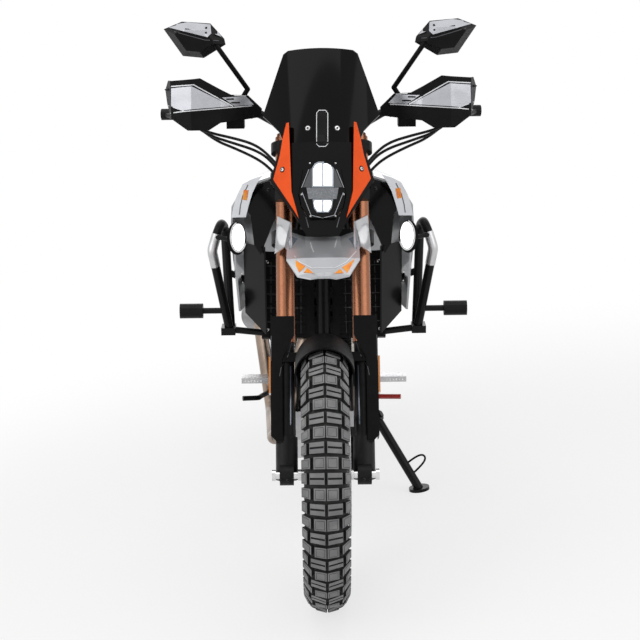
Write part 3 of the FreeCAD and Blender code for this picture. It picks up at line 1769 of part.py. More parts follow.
def make_shock():
    """The shock absorber between the frame's cross tube and the swingarm."""
    shock_top = V(0, shock_cross.y, shock_cross.z)
    run = shock_top.sub(shock_foot)
    pieces = [rod(shock_foot, shock_top, shock_body_radius)]
    half_wire = V(run.x, run.y, run.z).normalize() * spring_wire_radius
    for n in range(spring_turns):
        middle = shock_foot + run * (spring_foot_share + spring_share * n / (spring_turns - 1))
        ring = rod(middle - half_wire, middle + half_wire, spring_radius)
        pieces.append(ring.makeChamfer(spring_wire_radius * spring_chamfer_share, ring.Edges[::2]))
    return fused(pieces).cut([shock_cross_tube(rail_tube_radius + seat_gap), make_swingarm()])


# Chain loop and sprockets
front_sprocket_place = V(chain_place, 842.0, 400.0)
chain_half_height = 7.0
chain_width = 20.0
chain_roller_half = 4.6
chain_link_thickness = 4.0
chain_waist_share = 0.72


def chain_loop(grow):
    """The loop round both sprockets as a closed wire, grown outwards from the pitch line."""
    r_front = pitch_radius(front_sprocket_teeth) + grow
    r_back = pitch_radius(rear_sprocket_teeth) + grow
    front = front_sprocket_place
    back = V(chain_place, rear_axle.y, rear_axle.z)
    run = back.sub(front)
    tilt = math.asin((r_back - r_front) / run.Length)
    slope = math.atan2(run.z, run.y)
    upper = slope + math.pi / 2 + tilt
    lower = slope - math.pi / 2 - tilt

    def rim_point(centre, radius, angle):
        return centre + V(0, radius * math.cos(angle), radius * math.sin(angle))

    back_arc = [rim_point(back, r_back, angle) for angle in (upper, slope, lower)]
    front_arc = [rim_point(front, r_front, angle) for angle in (lower, slope + math.pi, upper)]
    edges = [
        Part.LineSegment(front_arc[2], back_arc[0]).toShape(),
        Part.Arc(*back_arc).toShape(),
        Part.LineSegment(back_arc[2], front_arc[0]).toShape(),
        Part.Arc(*front_arc).toShape(),
    ]
    return Part.Wire(edges)


def link_plates(place):
    """One side of the chain: a ring of waisted link plates, cut as one sheet."""
    line = chain_loop(0)
    count = 2 * round(line.Length / chain_pitch / 2)
    pins = line.discretize(count * 2 + 1)[:-1]
    waist = chain_half_height * chain_waist_share
    outer, inner = [], []
    for n, point in enumerate(pins):
        ahead = pins[(n + 1) % len(pins)].sub(pins[n - 1]).normalize()
        outward = V(0, -ahead.z, ahead.y)
        reach = chain_half_height if n % 2 == 0 else waist
        outer.append(point + outward * reach)
        inner.append(point - outward * reach)
    step = ALONG_X * (place - chain_link_thickness / 2)
    faces = [Part.Face(polygon([p + step for p in ring])) for ring in (outer, inner)]
    large, small = sorted(faces, key=lambda face: -face.Area)
    return large.cut(small).extrude(ALONG_X * chain_link_thickness)


def make_chain():
    """The drive chain as one closed loop: a band of rollers between two rings of link plates."""
    band = Part.Face(chain_loop(chain_roller_half)).cut(Part.Face(chain_loop(-chain_roller_half)))
    band.translate(ALONG_X * (-chain_width / 2))
    edge = chain_width / 2 - chain_link_thickness / 2
    return fused([band.extrude(ALONG_X * chain_width), link_plates(edge), link_plates(-edge)])


def sprocket(teeth, reach):
    """A toothed wheel about the X axis whose tips stay inside the chain's loop."""
    tip = pitch_radius(teeth) - chain_roller_half - reach
    root = tip - tooth_depth
    points = []
    step = 2 * math.pi / teeth
    for n in range(teeth):
        flat, foot = tooth_tip_share / 2, tooth_foot_share / 2
        for share, radius in ((-1 / 2, root), (-foot, root), (-flat, tip), (flat, tip), (foot, root)):
            angle = (n + share) * step
            points.append(V(-sprocket_thickness / 2, radius * math.cos(angle), radius * math.sin(angle)))
    return prism(points, ALONG_X * sprocket_thickness)


def make_rear_sprocket():
    """The rear sprocket on its carrier, against the hub's left end."""
    wheel = sprocket(rear_sprocket_teeth, overrun)
    wheel.translate(ALONG_X * chain_place)
    outer = chain_place + sprocket_thickness / 2
    carrier = tube(V(rear_hub_half, 0, 0), V(outer, 0, 0), carrier_outer_radius, axle_radius + running_gap)
    hole = rod(V(rear_hub_half, 0, 0), V(outer + overrun, 0, 0), axle_radius + running_gap)
    window = rod(
        V(outer - sprocket_thickness - overrun, 0, sprocket_window_place),
        V(outer + overrun, 0, sprocket_window_place),
        sprocket_window_radius,
    )
    return fused([wheel, carrier]).cut([hole] + ring_of(window, sprocket_windows))


def make_front_sprocket():
    """The front sprocket on the gearbox shaft."""
    wheel = sprocket(front_sprocket_teeth, seat_gap)
    wheel.translate(front_sprocket_place)
    shaft = rod(
        V(case_half, front_sprocket_place.y, front_sprocket_place.z),
        front_sprocket_place + ALONG_X * sprocket_thickness,
        spacer_radius,
    )
    return fused([wheel, shaft])


# Skid plate
skid_wall = 4.0
skid_half = 78.0
skid_line = [
    V(424.0, 380.0, 0),
    V(436.0, 300.0, 0),
    V(472.0, 240.0, 0),
    V(860.0, 240.0, 0),
]
skid_ear_places = [590.0, 740.0]
skid_ear_length = 24.0


def make_skid_plate():
    """A folded plate under the engine, with ears up to the cradle tubes."""
    outline = thickened(skid_line, -skid_wall)
    plate = prism([V(-skid_half, p.x, p.y) for p in outline], ALONG_X * (2 * skid_half))
    ears = []
    for place in skid_ear_places:
        low = V(skid_half - skid_ear_length, place, skid_line[-1].y)
        ears += both_sides(block(low, V(cradle_half, place + skid_ear_length, cradle_height)))
    return fused([plate] + ears).cut(both_sides(cradle_tube(rail_tube_radius + seat_gap)))


# Crash bars and their sliders
crash_radius = 12.0
crash_bend = 34.0
crash_loop = [
    V(254.0, 512.0, 588.0),
    V(293.0, 462.0, 812.0),
    V(270.0, 474.0, 886.0),
    V(264.0, 572.0, 858.0),
    V(252.0, 540.0, 590.0),
]
crash_foot_low = V(238.0, 496.0, 574.0)
crash_foot_size = V(38.0, 60.0, 20.0)
crash_lower_arm = [V(244.0, 522.0, 584.0), V(150.0, 520.0, 574.0), V(60.0, 520.0, 470.0)]
crash_lower_radius = 9.0
crash_upper_share = 0.45
crash_upper_end = V(70.0, 604.0, 640.0)
slider_rise_share = 0.24
slider_rod_radius = 8.0
slider_rod_length = 60.0
slider_bobbin_length = 62.0
slider_bobbin_radius = 20.0


def crash_upper_arm(radius):
    """The left upper arm, from the loop's rear tube to the engine."""
    high, low = crash_loop[-2], crash_loop[-1]
    return rod(high + (low - high) * crash_upper_share, crash_upper_end, radius)


def make_crash_bars():
    """A loop of tube on each side of the tank, with its arms to the engine and its bobbin."""
    loop = bent_bar(crash_loop, crash_radius, crash_bend)
    foot = block(crash_foot_low, crash_foot_low + crash_foot_size)
    lower = bent_bar(crash_lower_arm, crash_lower_radius, crash_bend)
    front_low, front_high = crash_loop[0], crash_loop[1]
    hold = front_low + (front_high - front_low) * slider_rise_share
    stem_end = hold + ALONG_X * slider_rod_length
    pieces = [
        loop,
        foot,
        lower,
        crash_upper_arm(crash_lower_radius),
        rod(hold, stem_end, slider_rod_radius),
        rod(stem_end, stem_end + ALONG_X * slider_bobbin_length, slider_bobbin_radius),
    ]
    neighbours = [make_crankcase(), make_cylinder()]
    left = fused(pieces)
    return [side.cut(neighbours) for side in both_sides(left)]


# Fog lamps
fog_centre = V(222.0, 360.0, 860.0)
fog_half_width = 25.0
fog_half_height = 43.0
fog_depth = 44.0
fog_back_share = 0.7
fog_arm_radius = 6.0
fog_arm_rise = 12.0


def make_fog_lamps():
    """Oval lamps under the side panels, each on an arm from the crash bar."""
    front = ellipse_section(fog_centre, ALONG_X, fog_half_width, fog_half_height, ALONG_Z)
    back = ellipse_section(
        fog_centre + ALONG_Y * fog_depth,
        ALONG_X,
        fog_half_width * fog_back_share,
        fog_half_height * fog_back_share,
        ALONG_Z,
    )
    body = loft([front, back])
    start = fog_centre + V(0, fog_depth - fog_arm_radius, -fog_arm_rise)
    front_low, front_high = crash_loop[0], crash_loop[1]
    share = (start.z - front_low.z) / (front_high.z - front_low.z)
    hold = V(crash_loop[1].x - crash_radius, crash_loop[1].y, start.z)
    arm = rod(start, hold, fog_arm_radius)
    lamp = fused([body, arm]).cut(bent_bar(crash_loop, crash_radius + seat_gap, crash_bend))
    return both_sides(lamp.Solids[0])


# Foot pegs
peg_outer_out = 239.0
peg_centre = V(0, 838.0, 368.0)
peg_width = 48.0
peg_thickness = 16.0
peg_bracket_radius = 12.0
peg_bracket_gap = 2.0
peg_knee_back = 10.0
peg_knee_drop = 6.0
peg_root_back = 8.0


def make_foot_pegs():
    """The rider's pegs on their brackets from the pivot plates."""
    root = V(pivot_plate_half - pivot_plate_thickness / 2, pivot_back - pivot_plate_length / 2, peg_centre.z)
    knee = peg_centre + V(pivot_plate_half + peg_bracket_radius + peg_bracket_gap, peg_knee_back, -peg_knee_drop)
    bracket = rod(root + V(pivot_plate_thickness / 2 + seat_gap, peg_root_back, 0), knee, peg_bracket_radius)
    low = V(knee.x - peg_bracket_radius, peg_centre.y - peg_width / 2, peg_centre.z - peg_thickness / 2)
    high = V(peg_outer_out, peg_centre.y + peg_width / 2, peg_centre.z + peg_thickness / 2)
    plate = block(
        V(pivot_plate_half - pivot_plate_thickness - overrun, 0, 0),
        V(pivot_plate_half + seat_gap, rear_axle.y, pivot_plate_top),
    )
    return both_sides(fused([bracket, block(low, high)]).cut(plate))


# Gear lever and brake pedal
pedal_radius = 7.0
pedal_bend = 18.0
gear_corners = [
    V(128.0, 812.0, 334.0),
    V(130.0, 720.0, 345.0),
    V(150.0, 640.0, 362.0),
    V(214.0, 628.0, 364.0),
]
gear_shaft_radius = 9.0
brake_corners = [
    V(-160.0, 830.0, 330.0),
    V(-178.0, 730.0, 345.0),
    V(-184.0, 640.0, 362.0),
    V(-228.0, 628.0, 364.0),
]
brake_spindle_back = 12.0


def make_gear_lever():
    """The gear lever on its shaft from the crankcase."""
    lever = bent_bar(gear_corners, pedal_radius, pedal_bend)
    start = gear_corners[0]
    shaft = rod(V(case_half, start.y, start.z), start + ALONG_X * pedal_radius, gear_shaft_radius)
    return fused([lever, shaft])


def make_brake_pedal():
    """The brake pedal on its spindle from the right pivot plate."""
    pedal = bent_bar(brake_corners, pedal_radius, pedal_bend)
    start = brake_corners[0]
    back = pivot_back - pivot_plate_length / 2 + brake_spindle_back
    arm = rod(V(-pivot_plate_half - seat_gap, back, start.z), start, gear_shaft_radius)
    plate = block(
        V(-pivot_plate_half - seat_gap, 0, 0),
        V(-pivot_plate_half + pivot_plate_thickness + overrun, rear_axle.y, pivot_plate_top),
    )
    return fused([pedal, arm]).cut(plate)


# Luggage rack behind the seat
rack_radius = 8.0
rack_bend = 30.0
rack_half = 104.0
rack_height = 896.0
rack_length = 160.0
rack_front = rail_end
rack_rear = rack_front + rack_length
rack_bar_radius = 6.0
rack_bars = 2
rack_strap_shares = [0.1625, 0.8375]
rack_strap_places = [rack_front + share * rack_length for share in rack_strap_shares]
rack_strap_width = 28.0
rack_strap_thickness = 5.0
rack_hole_radius = 4.25
rack_hole_out = 70.0
rack_post_out = 44.0
rack_post_share = 0.3625
rack_post_back = rack_front + rack_post_share * rack_length


def make_rack():
    """A tubular rack behind the seat, on posts from the frame's rear cross tube and the tail."""
    outline = [
        V(0, rack_rear, rack_height),
        V(rack_half, rack_rear, rack_height),
        V(rack_half, rack_front, rack_height),
        V(0, rack_front, rack_height),
    ]
    pieces = both_sides(bent_bar(outline, rack_radius, rack_bend))
    step = (rack_rear - rack_front) / (rack_bars + 1)
    for n in range(rack_bars):
        bar = V(rack_half, rack_front + (n + 1) * step, rack_height)
        pieces.append(rod(V(-bar.x, bar.y, bar.z), bar, rack_bar_radius))
    for place in rack_strap_places:
        low = V(-rack_half, place - rack_strap_width / 2, rack_height - rack_strap_thickness / 2)
        pieces.append(block(low, low + V(2 * rack_half, rack_strap_width, rack_strap_thickness)))
    tail_end = tail_stations[-1]
    for side in (1, -1):
        front_post = V(side * rack_post_out, rail_rear.y, rail_rear.z)
        rear_post = V(side * rack_post_out, rack_post_back, tail_end[3] - 2 * tail_wall)
        pieces.append(rod(front_post, V(front_post.x, front_post.y, rack_height), rack_bar_radius))
        pieces.append(rod(rear_post, V(rear_post.x, rear_post.y, rack_height), rack_bar_radius))
    cross = rod(V(-rail_rear.x, rail_rear.y, rail_rear.z), rail_rear, rail_tube_radius)
    up = ALONG_Z * rack_radius
    holes = [
        rod(V(out, place, rack_height) - up, V(out, place, rack_height) + up, rack_hole_radius)
        for out in (rack_hole_out, -rack_hole_out)
        for place in rack_strap_places
    ]
    return fused(pieces).cut([cross, make_tail()] + holes)


# Brake calipers
caliper_thickness = 40.0
caliper_length = 112.0
caliper_depth = 62.0
caliper_slot_half = 5.0
caliper_slot_gap = 5.0
front_caliper_turn = -82.0
rear_caliper_turn = 42.0
caliper_lug_length = 76.0
caliper_lug_height = 34.0
caliper_lug_rise = 36.0
rear_bracket_thickness = 8.0
rear_bracket_radius = 26.0


def caliper(place, outer, bore, turn, axle):
    """A caliper body that straddles its disc, swung round the axle from the top."""
    middle = (outer + bore) / 2
    low = V(place - caliper_thickness / 2, -caliper_length / 2, middle - caliper_depth / 2)
    body = block(low, low + V(caliper_thickness, caliper_length, caliper_depth))
    slot_half = caliper_slot_half + disc_thickness / 2
    slot = rod(V(place - slot_half, 0, 0), V(place + slot_half, 0, 0), outer + caliper_slot_gap)
    body = body.cut(slot)
    body.rotate(ORIGIN, ALONG_X, turn)
    body.translate(axle)
    return body


def make_front_caliper():
    """The front caliper behind the left fork leg, with the lug that bolts to the leg."""
    body = caliper(front_disc_place, front_disc_radius, front_disc_bore, front_caliper_turn, front_axle)
    outer = front_disc_place + caliper_thickness / 2
    middle = (front_disc_radius + front_disc_bore) / 2
    low = V(outer - rear_bracket_thickness, middle - caliper_lug_length, caliper_lug_rise)
    lug = block(low, low + V(rear_bracket_thickness, caliper_lug_length, caliper_lug_height))
    lug.translate(front_axle)
    return fused([body, lug]).cut(fork_leg(1))


def make_rear_caliper():
    """The rear caliper on its bracket round the axle's right-hand spacer."""
    body = caliper(rear_disc_place, rear_disc_radius, rear_disc_bore, rear_caliper_turn, ORIGIN)
    outer = rear_disc_place + caliper_thickness / 2
    start = V(outer, 0, 0)
    end = V(outer + rear_bracket_thickness, 0, 0)
    middle = (rear_disc_radius + rear_disc_bore) / 2
    tip = V(end.x, rear_bracket_radius, middle + caliper_depth / 2)
    arm = block(V(start.x, -rear_bracket_radius, 0), tip)
    arm.rotate(ORIGIN, ALONG_X, rear_caliper_turn)
    bracket = fused([body, rod(start, end, rear_bracket_radius), arm])
    reach = ALONG_X * overrun
    bracket = bracket.cut(rod(start - reach, end + reach, spacer_radius + running_gap))
    right = half_turn(bracket)
    right.translate(rear_axle)
    return right


def make_side_stand():
    """The side stand's leg, its pivot boss and its foot on the ground plane."""
    boss = rod(
        stand_pivot - stand_axis * (stand_boss_length / 2),
        stand_pivot + stand_axis * (stand_boss_length / 2),
        stand_boss_radius,
    )
    pad = rod(stand_foot, stand_foot + ground_normal * stand_pad_thickness, stand_pad_radius)
    leg = rod(stand_pivot, stand_foot + ground_normal * stand_pad_thickness / 2, stand_radius)
    hole = rod(
        stand_pivot - stand_axis * stand_boss_length,
        stand_pivot + stand_axis * stand_boss_length,
        stand_pin_radius + running_gap,
    )
    floor = Part.makeCylinder(
        stand_pad_radius * 4, stand_pad_radius, stand_foot - ground_normal * stand_pad_radius, ground_normal
    )
    return fused([boss, leg, pad]).cut([hole, floor])


# Every piece by its node's name
def at(shape, place):
    shape.translate(place)
    return shape


def build():
    """All the nodes in the upright frame."""
    front_wheel = wire_wheel(front_seat_radius, front_rim_half, front_hub_half, front_flange_place)
    rear_wheel = wire_wheel(rear_seat_radius, rear_rim_half, rear_hub_half, rear_flange_place)
    front_tyre = tyre(front_tyre_radius, front_tyre_width, front_seat_radius, front_rim_half, tread_rows)
    rear_tyre = tyre(rear_tyre_radius, rear_tyre_width, rear_seat_radius, rear_rim_half, tread_rows)
    front_disc = brake_disc(front_disc_radius, front_disc_bore, front_disc_place, front_hub_half, 1)
    rear_disc = brake_disc(rear_disc_radius, rear_disc_bore, rear_disc_place, rear_hub_half, -1)
    return {
        "front_tyre": at(front_tyre, front_axle),
        "front_wheel": at(front_wheel, front_axle),
        "front_disc": at(front_disc, front_axle),
        "rear_tyre": at(rear_tyre, rear_axle),
        "rear_wheel": at(rear_wheel, rear_axle),
        "rear_disc": at(rear_disc, rear_axle),
        "rear_sprocket": at(make_rear_sprocket(), rear_axle),
        "yokes": make_yokes(),
        "fork_tubes": make_fork_tubes(),
        "fork_legs": make_fork_legs(),
        "front_axle": make_front_axle(),
        "fork_guards": make_fork_guards(),
        "fork_reflectors": make_fork_reflectors(),
        "front_fender": make_front_fender(),
        "front_caliper": make_front_caliper(),
        "handlebar": make_handlebar(),
        "grips": make_grips(),
        "controls": make_controls(),
        "handguards": make_handguards(),
        "mirrors": make_mirrors(),
        "front_bracket": make_front_bracket(),
        "screen": make_screen(),
        "cowl": make_cowl(),
        "cowl_trims": make_trims(),
        "headlight": make_headlight(),
        "display": make_display(),
        "beak": make_beak(),
        "frame": make_frame(),
        "swingarm": make_swingarm(),
        "axles": make_axles(),
        "crankcase": make_crankcase(),
        "clutch_cover": make_clutch_cover(),
        "generator_cover": make_generator_cover(),
        "cylinder": make_cylinder(),
        "radiators": make_radiators(),
        "exhaust_pipe": make_exhaust_pipe(),
        "silencer": make_silencer(),
        "fuel_tank": make_tank(),
        "side_panels": make_side_panels(),
        "shrouds": make_shrouds(),
        "seat": make_seat(),
        "tail_cowl": make_tail(),
        "tail_lamp": make_tail_lamp(),
        "rear_fender": make_rear_fender(),
        "shock_absorber": make_shock(),
        "chain": make_chain(),
        "front_sprocket": make_front_sprocket(),
        "skid_plate": make_skid_plate(),
        "crash_bars": make_crash_bars(),
        "fog_lamps": make_fog_lamps(),
        "foot_pegs": make_foot_pegs(),
        "gear_lever": make_gear_lever(),
        "brake_pedal": make_brake_pedal(),
        "luggage_rack": make_rack(),
        "rear_caliper": make_rear_caliper(),
        "side_stand": make_side_stand(),
    }


def leant(shape):
    """The shape leant over to the left about the ground line of the tyres."""
    copy = shape.copy()
    copy.rotate(ORIGIN, ALONG_Y, lean_angle)
    return copy


def joined(shapes):
    """One shape for a node, whether it holds one solid or several."""
    if isinstance(shapes, list):
        return Part.makeCompound(shapes)
    return Part.makeCompound(shapes.Solids) if len(shapes.Solids) > 1 else shapes.Solids[0]


upright = build()
nodes = {name: leant(joined(shapes)) for name, shapes in upright.items()}
boxes = [shape.optimalBoundingBox(False) for shape in nodes.values()]
to_origin = V(
    -(min(b.XMin for b in boxes) + max(b.XMax for b in boxes)) / 2,
    -(min(b.YMin for b in boxes) + max(b.YMax for b in boxes)) / 2,
    -min(b.ZMin for b in boxes),
)
os.makedirs("parts", exist_ok=True)
for name, shape in nodes.items():
    shape.translate(to_origin)
    shape.exportStep(f"parts/{name}.step")
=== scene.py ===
"""Looks of an adventure motorcycle: finishes, fine parts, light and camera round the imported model."""

from __future__ import annotations

import json
import logging
import math
from dataclasses import dataclass, field
from enum import Enum
from typing import ClassVar, Iterable, Protocol, Sequence

import bmesh
import bpy
from mathutils import Matrix, Vector
from mathutils.bvhtree import BVHTree

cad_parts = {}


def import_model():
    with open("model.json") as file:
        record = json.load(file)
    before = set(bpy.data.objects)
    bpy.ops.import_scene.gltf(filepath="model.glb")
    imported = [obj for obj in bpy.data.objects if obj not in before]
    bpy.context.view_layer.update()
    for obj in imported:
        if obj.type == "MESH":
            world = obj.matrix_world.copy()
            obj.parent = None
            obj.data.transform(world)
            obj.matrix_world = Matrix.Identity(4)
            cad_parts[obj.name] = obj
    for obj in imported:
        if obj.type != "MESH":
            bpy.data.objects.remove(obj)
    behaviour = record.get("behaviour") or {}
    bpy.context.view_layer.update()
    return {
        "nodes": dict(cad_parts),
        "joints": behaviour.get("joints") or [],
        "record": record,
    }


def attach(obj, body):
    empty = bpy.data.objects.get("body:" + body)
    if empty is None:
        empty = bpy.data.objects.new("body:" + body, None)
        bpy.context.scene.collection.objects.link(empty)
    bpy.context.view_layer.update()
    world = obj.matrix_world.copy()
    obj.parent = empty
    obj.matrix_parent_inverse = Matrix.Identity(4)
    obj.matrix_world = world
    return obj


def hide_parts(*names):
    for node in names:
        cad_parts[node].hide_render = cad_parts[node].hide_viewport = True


LOG = logging.getLogger("motorcycle")
MM = 0.001

Colour = tuple[float, float, float]
Place = tuple[float, float]
Outline = tuple[tuple[float, ...], ...]
Route = tuple[tuple[float, float, float], ...]

FRONT_AXLE: Place = (0.0, 332.5)
REAR_AXLE: Place = (1420.0, 328.6)
BESIDE = 1000.0
BEHIND = 3000.0
ABOVE = 2000.0


class Body(str, Enum):
    """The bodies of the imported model."""

    CHASSIS = "chassis"
    STEERING = "steering"
    FRONT_WHEEL = "front_wheel"
    REAR_WHEEL = "rear_wheel"
    SIDE_STAND = "side_stand"


class View(Enum):
    """From where a form is dropped on the machine, and what its two numbers mean."""

    FRONT = "picture pixels across and down"
    LEFT = "millimetres back and up, from the rider's left"
    RIGHT = "millimetres back and up, from the rider's right"
    REAR = "millimetres across and up, from behind"
    TOP = "millimetres across and back, from above"


@dataclass
class Stance:
    """How the machine stands: lengths in the upright machine turned to the leaning row frame.

    The upright frame has its origin on the ground under the front axle, +X to the rider's left,
    +Y to the rear and +Z up. The wheel's joint gives the lean and the place.
    """

    axle_height: float = FRONT_AXLE[1] * MM
    matrix: Matrix = field(default_factory=Matrix)

    def read(self, joints: Sequence[dict]) -> None:
        """Work out the matrix from the front wheel's joint.

        Args:
            joints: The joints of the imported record.
        """
        spin = next(j for j in joints if j["name"] == "front_wheel_spin")
        axis = Vector(spin["axis"])
        lean = math.atan2(-axis.z, axis.x)
        turn = Matrix.Rotation(lean, 4, "Y")
        foot = turn @ Vector((0.0, 0.0, self.axle_height))
        self.matrix = Matrix.Translation(Vector(spin["pos_m"]) - foot) @ turn


@dataclass(frozen=True)
class Finish:
    """A surface finish: its colour, gloss, and the grain and spots that break it up."""

    name: str
    colour: Colour
    roughness: float = 0.4
    metallic: float = 0.0
    coat: float = 0.0
    second: Colour | None = None
    spot_scale: float = 40.0
    spot_share: float = 0.35
    grain_scale: float = 900.0
    grain_depth: float = 0.0
    glow: float = 0.0
    stretch: tuple[float, float, float] = (1.0, 1.0, 1.0)
    specular: float = 0.5
    coat_roughness: ClassVar[float] = 0.05
    spot_detail: ClassVar[float] = 6.0
    spot_edges: ClassVar[Place] = (0.45, 0.75)
    rough_spread: ClassVar[Place] = (0.8, 1.25)
    grain_detail: ClassVar[float] = 2.0
    grain_strength: ClassVar[float] = 0.6

    def material(self) -> bpy.types.Material:
        """The finish's material, made at its first use.

        Returns:
            The node material.
        """
        title = self.name + "_finish"
        found = bpy.data.materials.get(title)
        if found:
            return found
        made = bpy.data.materials.new(title)
        made.use_nodes = True
        nodes, links = made.node_tree.nodes, made.node_tree.links
        shader = nodes["Principled BSDF"]
        shader.inputs["Base Color"].default_value = (*self.colour, 1.0)
        shader.inputs["Metallic"].default_value = self.metallic
        shader.inputs["Roughness"].default_value = self.roughness
        shader.inputs["Coat Weight"].default_value = self.coat
        shader.inputs["Coat Roughness"].default_value = self.coat_roughness
        shader.inputs["Specular IOR Level"].default_value = self.specular
        if self.glow:
            shader.inputs["Emission Color"].default_value = (*self.colour, 1.0)
            shader.inputs["Emission Strength"].default_value = self.glow
        place = nodes.new("ShaderNodeTexCoord")
        mapping = nodes.new("ShaderNodeMapping")
        mapping.inputs["Scale"].default_value = self.stretch
        links.new(place.outputs["Object"], mapping.inputs["Vector"])
        spots = nodes.new("ShaderNodeTexNoise")
        spots.inputs["Scale"].default_value = self.spot_scale
        spots.inputs["Detail"].default_value = self.spot_detail
        links.new(mapping.outputs["Vector"], spots.inputs["Vector"])
        tint = nodes.new("ShaderNodeMix")
        tint.data_type = "RGBA"
        second = self.second or tuple(c * (1.0 - self.spot_share) for c in self.colour)
        tint.inputs["A"].default_value = (*self.colour, 1.0)
        tint.inputs["B"].default_value = (*second, 1.0)
        shape = nodes.new("ShaderNodeMapRange")
        shape.inputs["From Min"].default_value, shape.inputs["From Max"].default_value = self.spot_edges
        links.new(spots.outputs["Fac"], shape.inputs["Value"])
        links.new(shape.outputs["Result"], tint.inputs["Factor"])
        links.new(tint.outputs["Result"], shader.inputs["Base Color"])
        rough = nodes.new("ShaderNodeMapRange")
        rough.inputs["To Min"].default_value = self.roughness * self.rough_spread[0]
        rough.inputs["To Max"].default_value = min(1.0, self.roughness * self.rough_spread[1])
        links.new(spots.outputs["Fac"], rough.inputs["Value"])
        links.new(rough.outputs["Result"], shader.inputs["Roughness"])
        if self.grain_depth:
            grain = nodes.new("ShaderNodeTexNoise")
            grain.inputs["Scale"].default_value = self.grain_scale
            grain.inputs["Detail"].default_value = self.grain_detail
            links.new(mapping.outputs["Vector"], grain.inputs["Vector"])
            bump = nodes.new("ShaderNodeBump")
            bump.inputs["Strength"].default_value = self.grain_strength
            bump.inputs["Distance"].default_value = self.grain_depth
            links.new(grain.outputs["Fac"], bump.inputs["Height"])
            links.new(bump.outputs["Normal"], shader.inputs["Normal"])
        return made


